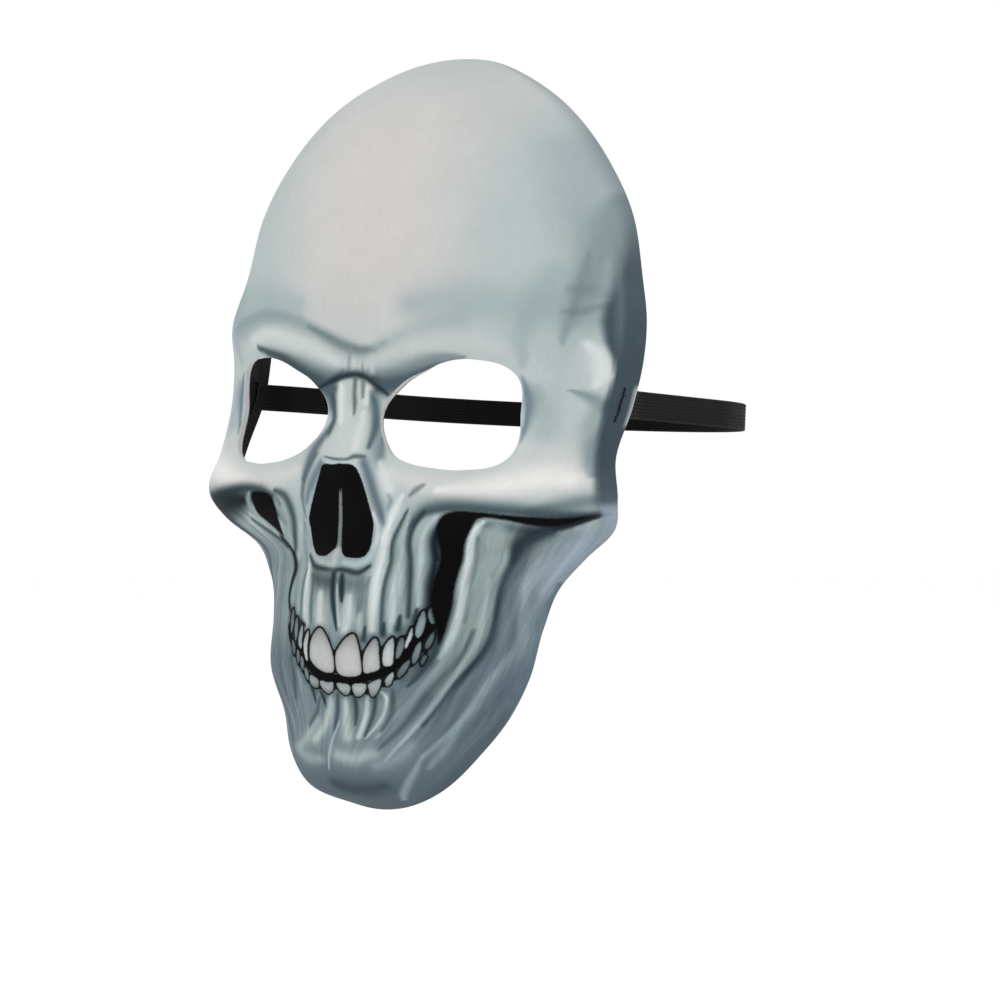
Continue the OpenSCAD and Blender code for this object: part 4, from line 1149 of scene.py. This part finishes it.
def make_elastic():
    """Two sewn ends that bend at the shell's edge, and one band round the head."""
    left = band_path()
    right = left * np.array([-1, 1, 1])
    joint_y = HINGE.y + BEND_LENGTH
    cut = int(np.argmax(left[0, :, 1] > joint_y))
    coat = elastic()
    pieces = []
    for side, band in (("left", left), ("right", right)):
        piece = sweep_band(f"{side}_elastic_end", *band[:, :cut + 1])
        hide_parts(f"{side}_strap_tail")
        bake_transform(piece)
        pieces.append(piece)
    loop = sweep_band("elastic_loop", *np.concatenate([left[:, cut:], right[:, -2:cut - 1:-1]], axis=1))
    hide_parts("left_strap_side", "right_strap_side", "strap_back")
    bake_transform(loop)
    for piece in pieces + [loop]:
        piece.data.materials.append(coat)


# ---------------------------------------------------------------- sewing thread
# Length and number of the stitches, half the gap between two, their scatter in depth and the
# radius of their corners
STITCH_L, STITCHES = 2.0, 6
STITCH_GAP, STRAY, CORNER_R = 0.12, 0.14, 0.5
# Radii of the thread and of its two strands, and the step along it
THREAD_R, STRAND_R, THREAD_STEP = 0.42, 0.25, 0.16
# How far the seam lies ahead of the shell's edge, and how deep the thread sinks into the cloth
SEAM_IN, SEAM_SINK = 7.5, 0.1
TURNS_PER_MM = 0.8
# Loose ends: how far below the seam's top and how long; their radii from root to tip
LOOSE_ENDS = [(2.3, 1.3), (7.2, 1)]
LOOSE_R, LOOSE_STEPS = (0.24, 0.1), 14


def seam_place(z):
    """Place of the seam on the face at a height."""
    y = float(section(latitude(z))[1]) - SEAM_IN
    return np.array([float(temple_x(y, z)), y, z])


def tube(centres, radii, closed, sides=6):
    """Points and faces of a round strand along centres; an open one is capped."""
    ahead = np.roll(centres, -1, axis=0) - np.roll(centres, 1, axis=0)
    if not closed:
        ahead[0], ahead[-1] = centres[1] - centres[0], centres[-1] - centres[-2]
    ahead = unit(ahead)
    first = np.cross(ahead, [0, 1, 0])
    weak = np.linalg.norm(first, axis=1) < 0.3
    first[weak] = np.cross(ahead[weak], [1, 0, 0])
    first = unit(first)
    second = np.cross(ahead, first)
    angle = 2 * np.pi * np.arange(sides)[None, :, None] / sides
    ring = np.cos(angle) * first[:, None] + np.sin(angle) * second[:, None]
    points = centres[:, None] + radii[:, None, None] * ring
    n = len(centres)
    faces = [[i * sides + k, i * sides + (k + 1) % sides, (i + 1) % n * sides + (k + 1) % sides,
              (i + 1) % n * sides + k] for i in range(n if closed else n - 1) for k in range(sides)]
    if not closed:
        faces += [list(range(sides))[::-1], [(n - 1) * sides + k for k in range(sides)]]
    return points.reshape(-1, 3), faces


def stitch_loop(z_low, z_high, shift):
    """Closed middle line of one stitch through all layers, evenly divided, and its length."""
    middle = seam_place((z_low + z_high) / 2)
    outer = middle[0] + THREAD_R - SEAM_SINK - CORNER_R
    inner = middle[0] - SHELL_T - BAND_T - THREAD_R + SEAM_SINK + CORNER_R
    high, low = z_high - CORNER_R, z_low + CORNER_R
    line = []
    for x, z, start in ((outer, high, 0), (inner, high, 90), (inner, low, 180), (outer, low, 270)):
        for turn in (0, 30, 60, 90):
            a = math.radians(start + turn)
            line.append([x + CORNER_R * math.cos(a), seam_place(z)[1] + shift, z + CORNER_R * math.sin(a)])
    closed = np.array(line + line[:1])
    length = np.concatenate([[0], np.cumsum(np.linalg.norm(np.diff(closed, axis=0), axis=1))])
    even = np.arange(0, length[-1], THREAD_STEP)
    return np.stack([np.interp(even, length, closed[:, k]) for k in range(3)], 1), length[-1]


def twisted_strands(centres, total, phase):
    """Two strands wound round a closed middle line that lies in a plane of constant depth."""
    ahead = unit(np.roll(centres, -1, axis=0) - np.roll(centres, 1, axis=0))
    flat = unit(np.cross(ahead, [0, 1, 0]))
    turns = max(1, round(total * TURNS_PER_MM))
    place = np.arange(len(centres))[:, None] / len(centres)
    strands = []
    for half_turn in (0, math.pi):
        angle = 2 * np.pi * turns * place + half_turn + phase
        wound = (THREAD_R - STRAND_R) * (np.cos(angle) * flat + np.sin(angle) * np.array([0, 1, 0]))
        strands.append(tube(centres + wound, np.full(len(centres), STRAND_R), True))
    return strands


def sewing_thread():
    """Near-black spun polyester with a slight sheen and stray fibres."""
    n = Nodes("sewing_thread")
    fibres = n.noise(n.stretched(n.place(), (1, 1, 0.35)), 5200, 3, 0.6)
    colour = n.mix(fibres, (5, 5, 7), (26, 26, 30))
    normal = n.bump(fibres, 0.00006, 0.8)
    return n.finish(colour, n.spread(fibres, 0.5, 0.75), normal, Sheen_Weight=0.05, Specular_IOR_Level=0.2)


def loose_end(z, length):
    """Points and faces of a thread's free end that leaves the seam at a height."""
    root = seam_place(z) + np.array([THREAD_R - SEAM_SINK, 0, 0])
    reach = np.linspace(0, 1, LOOSE_STEPS)[:, None]
    bend = root + reach * np.array([0.15, length, -0.5]) + reach**2 * np.array([0.4, 0, -0.5])
    return tube(bend, np.linspace(*LOOSE_R, LOOSE_STEPS), False)


def make_seams():
    """The row of stitches beside each temple, with two loose ends, each standing for its CAD node."""
    chance = np.random.default_rng(7)
    coat = sewing_thread()
    top = HINGE.z + STITCHES * STITCH_L / 2
    for side, flip in (("left", 1), ("right", -1)):
        parts = []
        for k in range(STITCHES):
            z_high, z_low = top - k * STITCH_L - STITCH_GAP, top - (k + 1) * STITCH_L + STITCH_GAP
            line, total = stitch_loop(z_low, z_high, chance.uniform(-STRAY, STRAY))
            parts += twisted_strands(line, total, chance.uniform(0, 6))
        parts += [loose_end(top - below, length) for below, length in LOOSE_ENDS]
        points = np.vstack([piece for piece, _ in parts])
        points[:, 0] *= flip
        offsets = np.concatenate([[0], np.cumsum([len(piece) for piece, _ in parts])])
        faces = [[v + int(offset) for v in (face if flip > 0 else face[::-1])]
                 for (_, rings), offset in zip(parts, offsets) for face in rings]
        seam = mesh_object(f"{side}_seam_thread", points, faces)
        seam.data.materials.append(coat)
        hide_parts(f"{side}_stitching")
        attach(seam, "mask_shell")


# ---------------------------------------------------------------- stage, light and camera
# Name, place, size in metres and power in watts
LIGHTS = [
    ("key", (0.75, -1.2, 0.7), 1.0, 3.0),
    ("fill", (-1.1, -0.8, 0.3), 1.2, 1.0),
    ("top", (0.1, 0.3, 1.3), 1.1, 1.4),
]
FLOOR_BELOW = 0.14
# The camera's turn and rise in degrees, distance in metres, lens and sensor in mm, and its aim from
# the middle of the face in mm
CAMERA_TURN, CAMERA_RISE, CAMERA_AWAY = 38, 3, 1.15
LENS, SENSOR = 116.3, 36
AIM_OFFSET = Vector((41.5, 6.5, -23.8))


def plain(name, colour, roughness):
    """Paper of one colour with a barely visible speckle."""
    n = Nodes(name)
    speckle = n.noise(n.place(), 40)
    return n.finish(n.scaled(tuple(linear(colour)), n.spread(speckle, 0.99, 1.01)), roughness)


def make_stage():
    """Pale floor below the chin, white surroundings and soft square lights aimed at the face."""
    bpy.ops.mesh.primitive_circle_add(vertices=96, radius=3.0, fill_type="NGON",
                                      location=(0, 0.05, FACE_LOW.z * MM - FLOOR_BELOW))
    floor = bpy.context.object
    floor.name = "floor"
    floor.data.materials.append(plain("floor_paper", (254, 254, 254), 0.95))
    world = bpy.data.worlds.new("studio")
    bpy.context.scene.world = world
    world.use_nodes = True
    sky = world.node_tree.nodes["Background"]
    sky.inputs["Color"].default_value = (1, 1, 1, 1)
    sky.inputs["Strength"].default_value = 1.0
    aim = Vector((0, (FACE_LOW.y + FACE_HIGH.y) / 2, Z_MID)) * MM
    for name, place, size, power in LIGHTS:
        light = bpy.data.lights.new(name, "AREA")
        light.size = size
        light.energy = power
        made = add_object(name, light)
        made.location = place
        made.rotation_euler = (aim - made.location).to_track_quat("-Z", "Y").to_euler()


def make_camera():
    """Camera a little above the level of the face, turned to the wearer's left."""
    azimuth, elevation = math.radians(CAMERA_TURN), math.radians(CAMERA_RISE)
    aim = ((FACE_LOW + FACE_HIGH) / 2 + AIM_OFFSET) * MM
    back = Vector((math.sin(azimuth) * math.cos(elevation), -math.cos(azimuth) * math.cos(elevation),
                   math.sin(elevation)))
    data = bpy.data.cameras.new("camera")
    data.lens = LENS
    data.sensor_width = SENSOR
    made = add_object("camera", data)
    made.location = aim + back * CAMERA_AWAY
    made.rotation_euler = back.to_track_quat("Z", "Y").to_euler()
    bpy.context.scene.camera = made


bpy.context.scene.view_settings.view_transform = "Standard"
make_camera()
make_shell()
make_elastic()
make_seams()
make_stage()
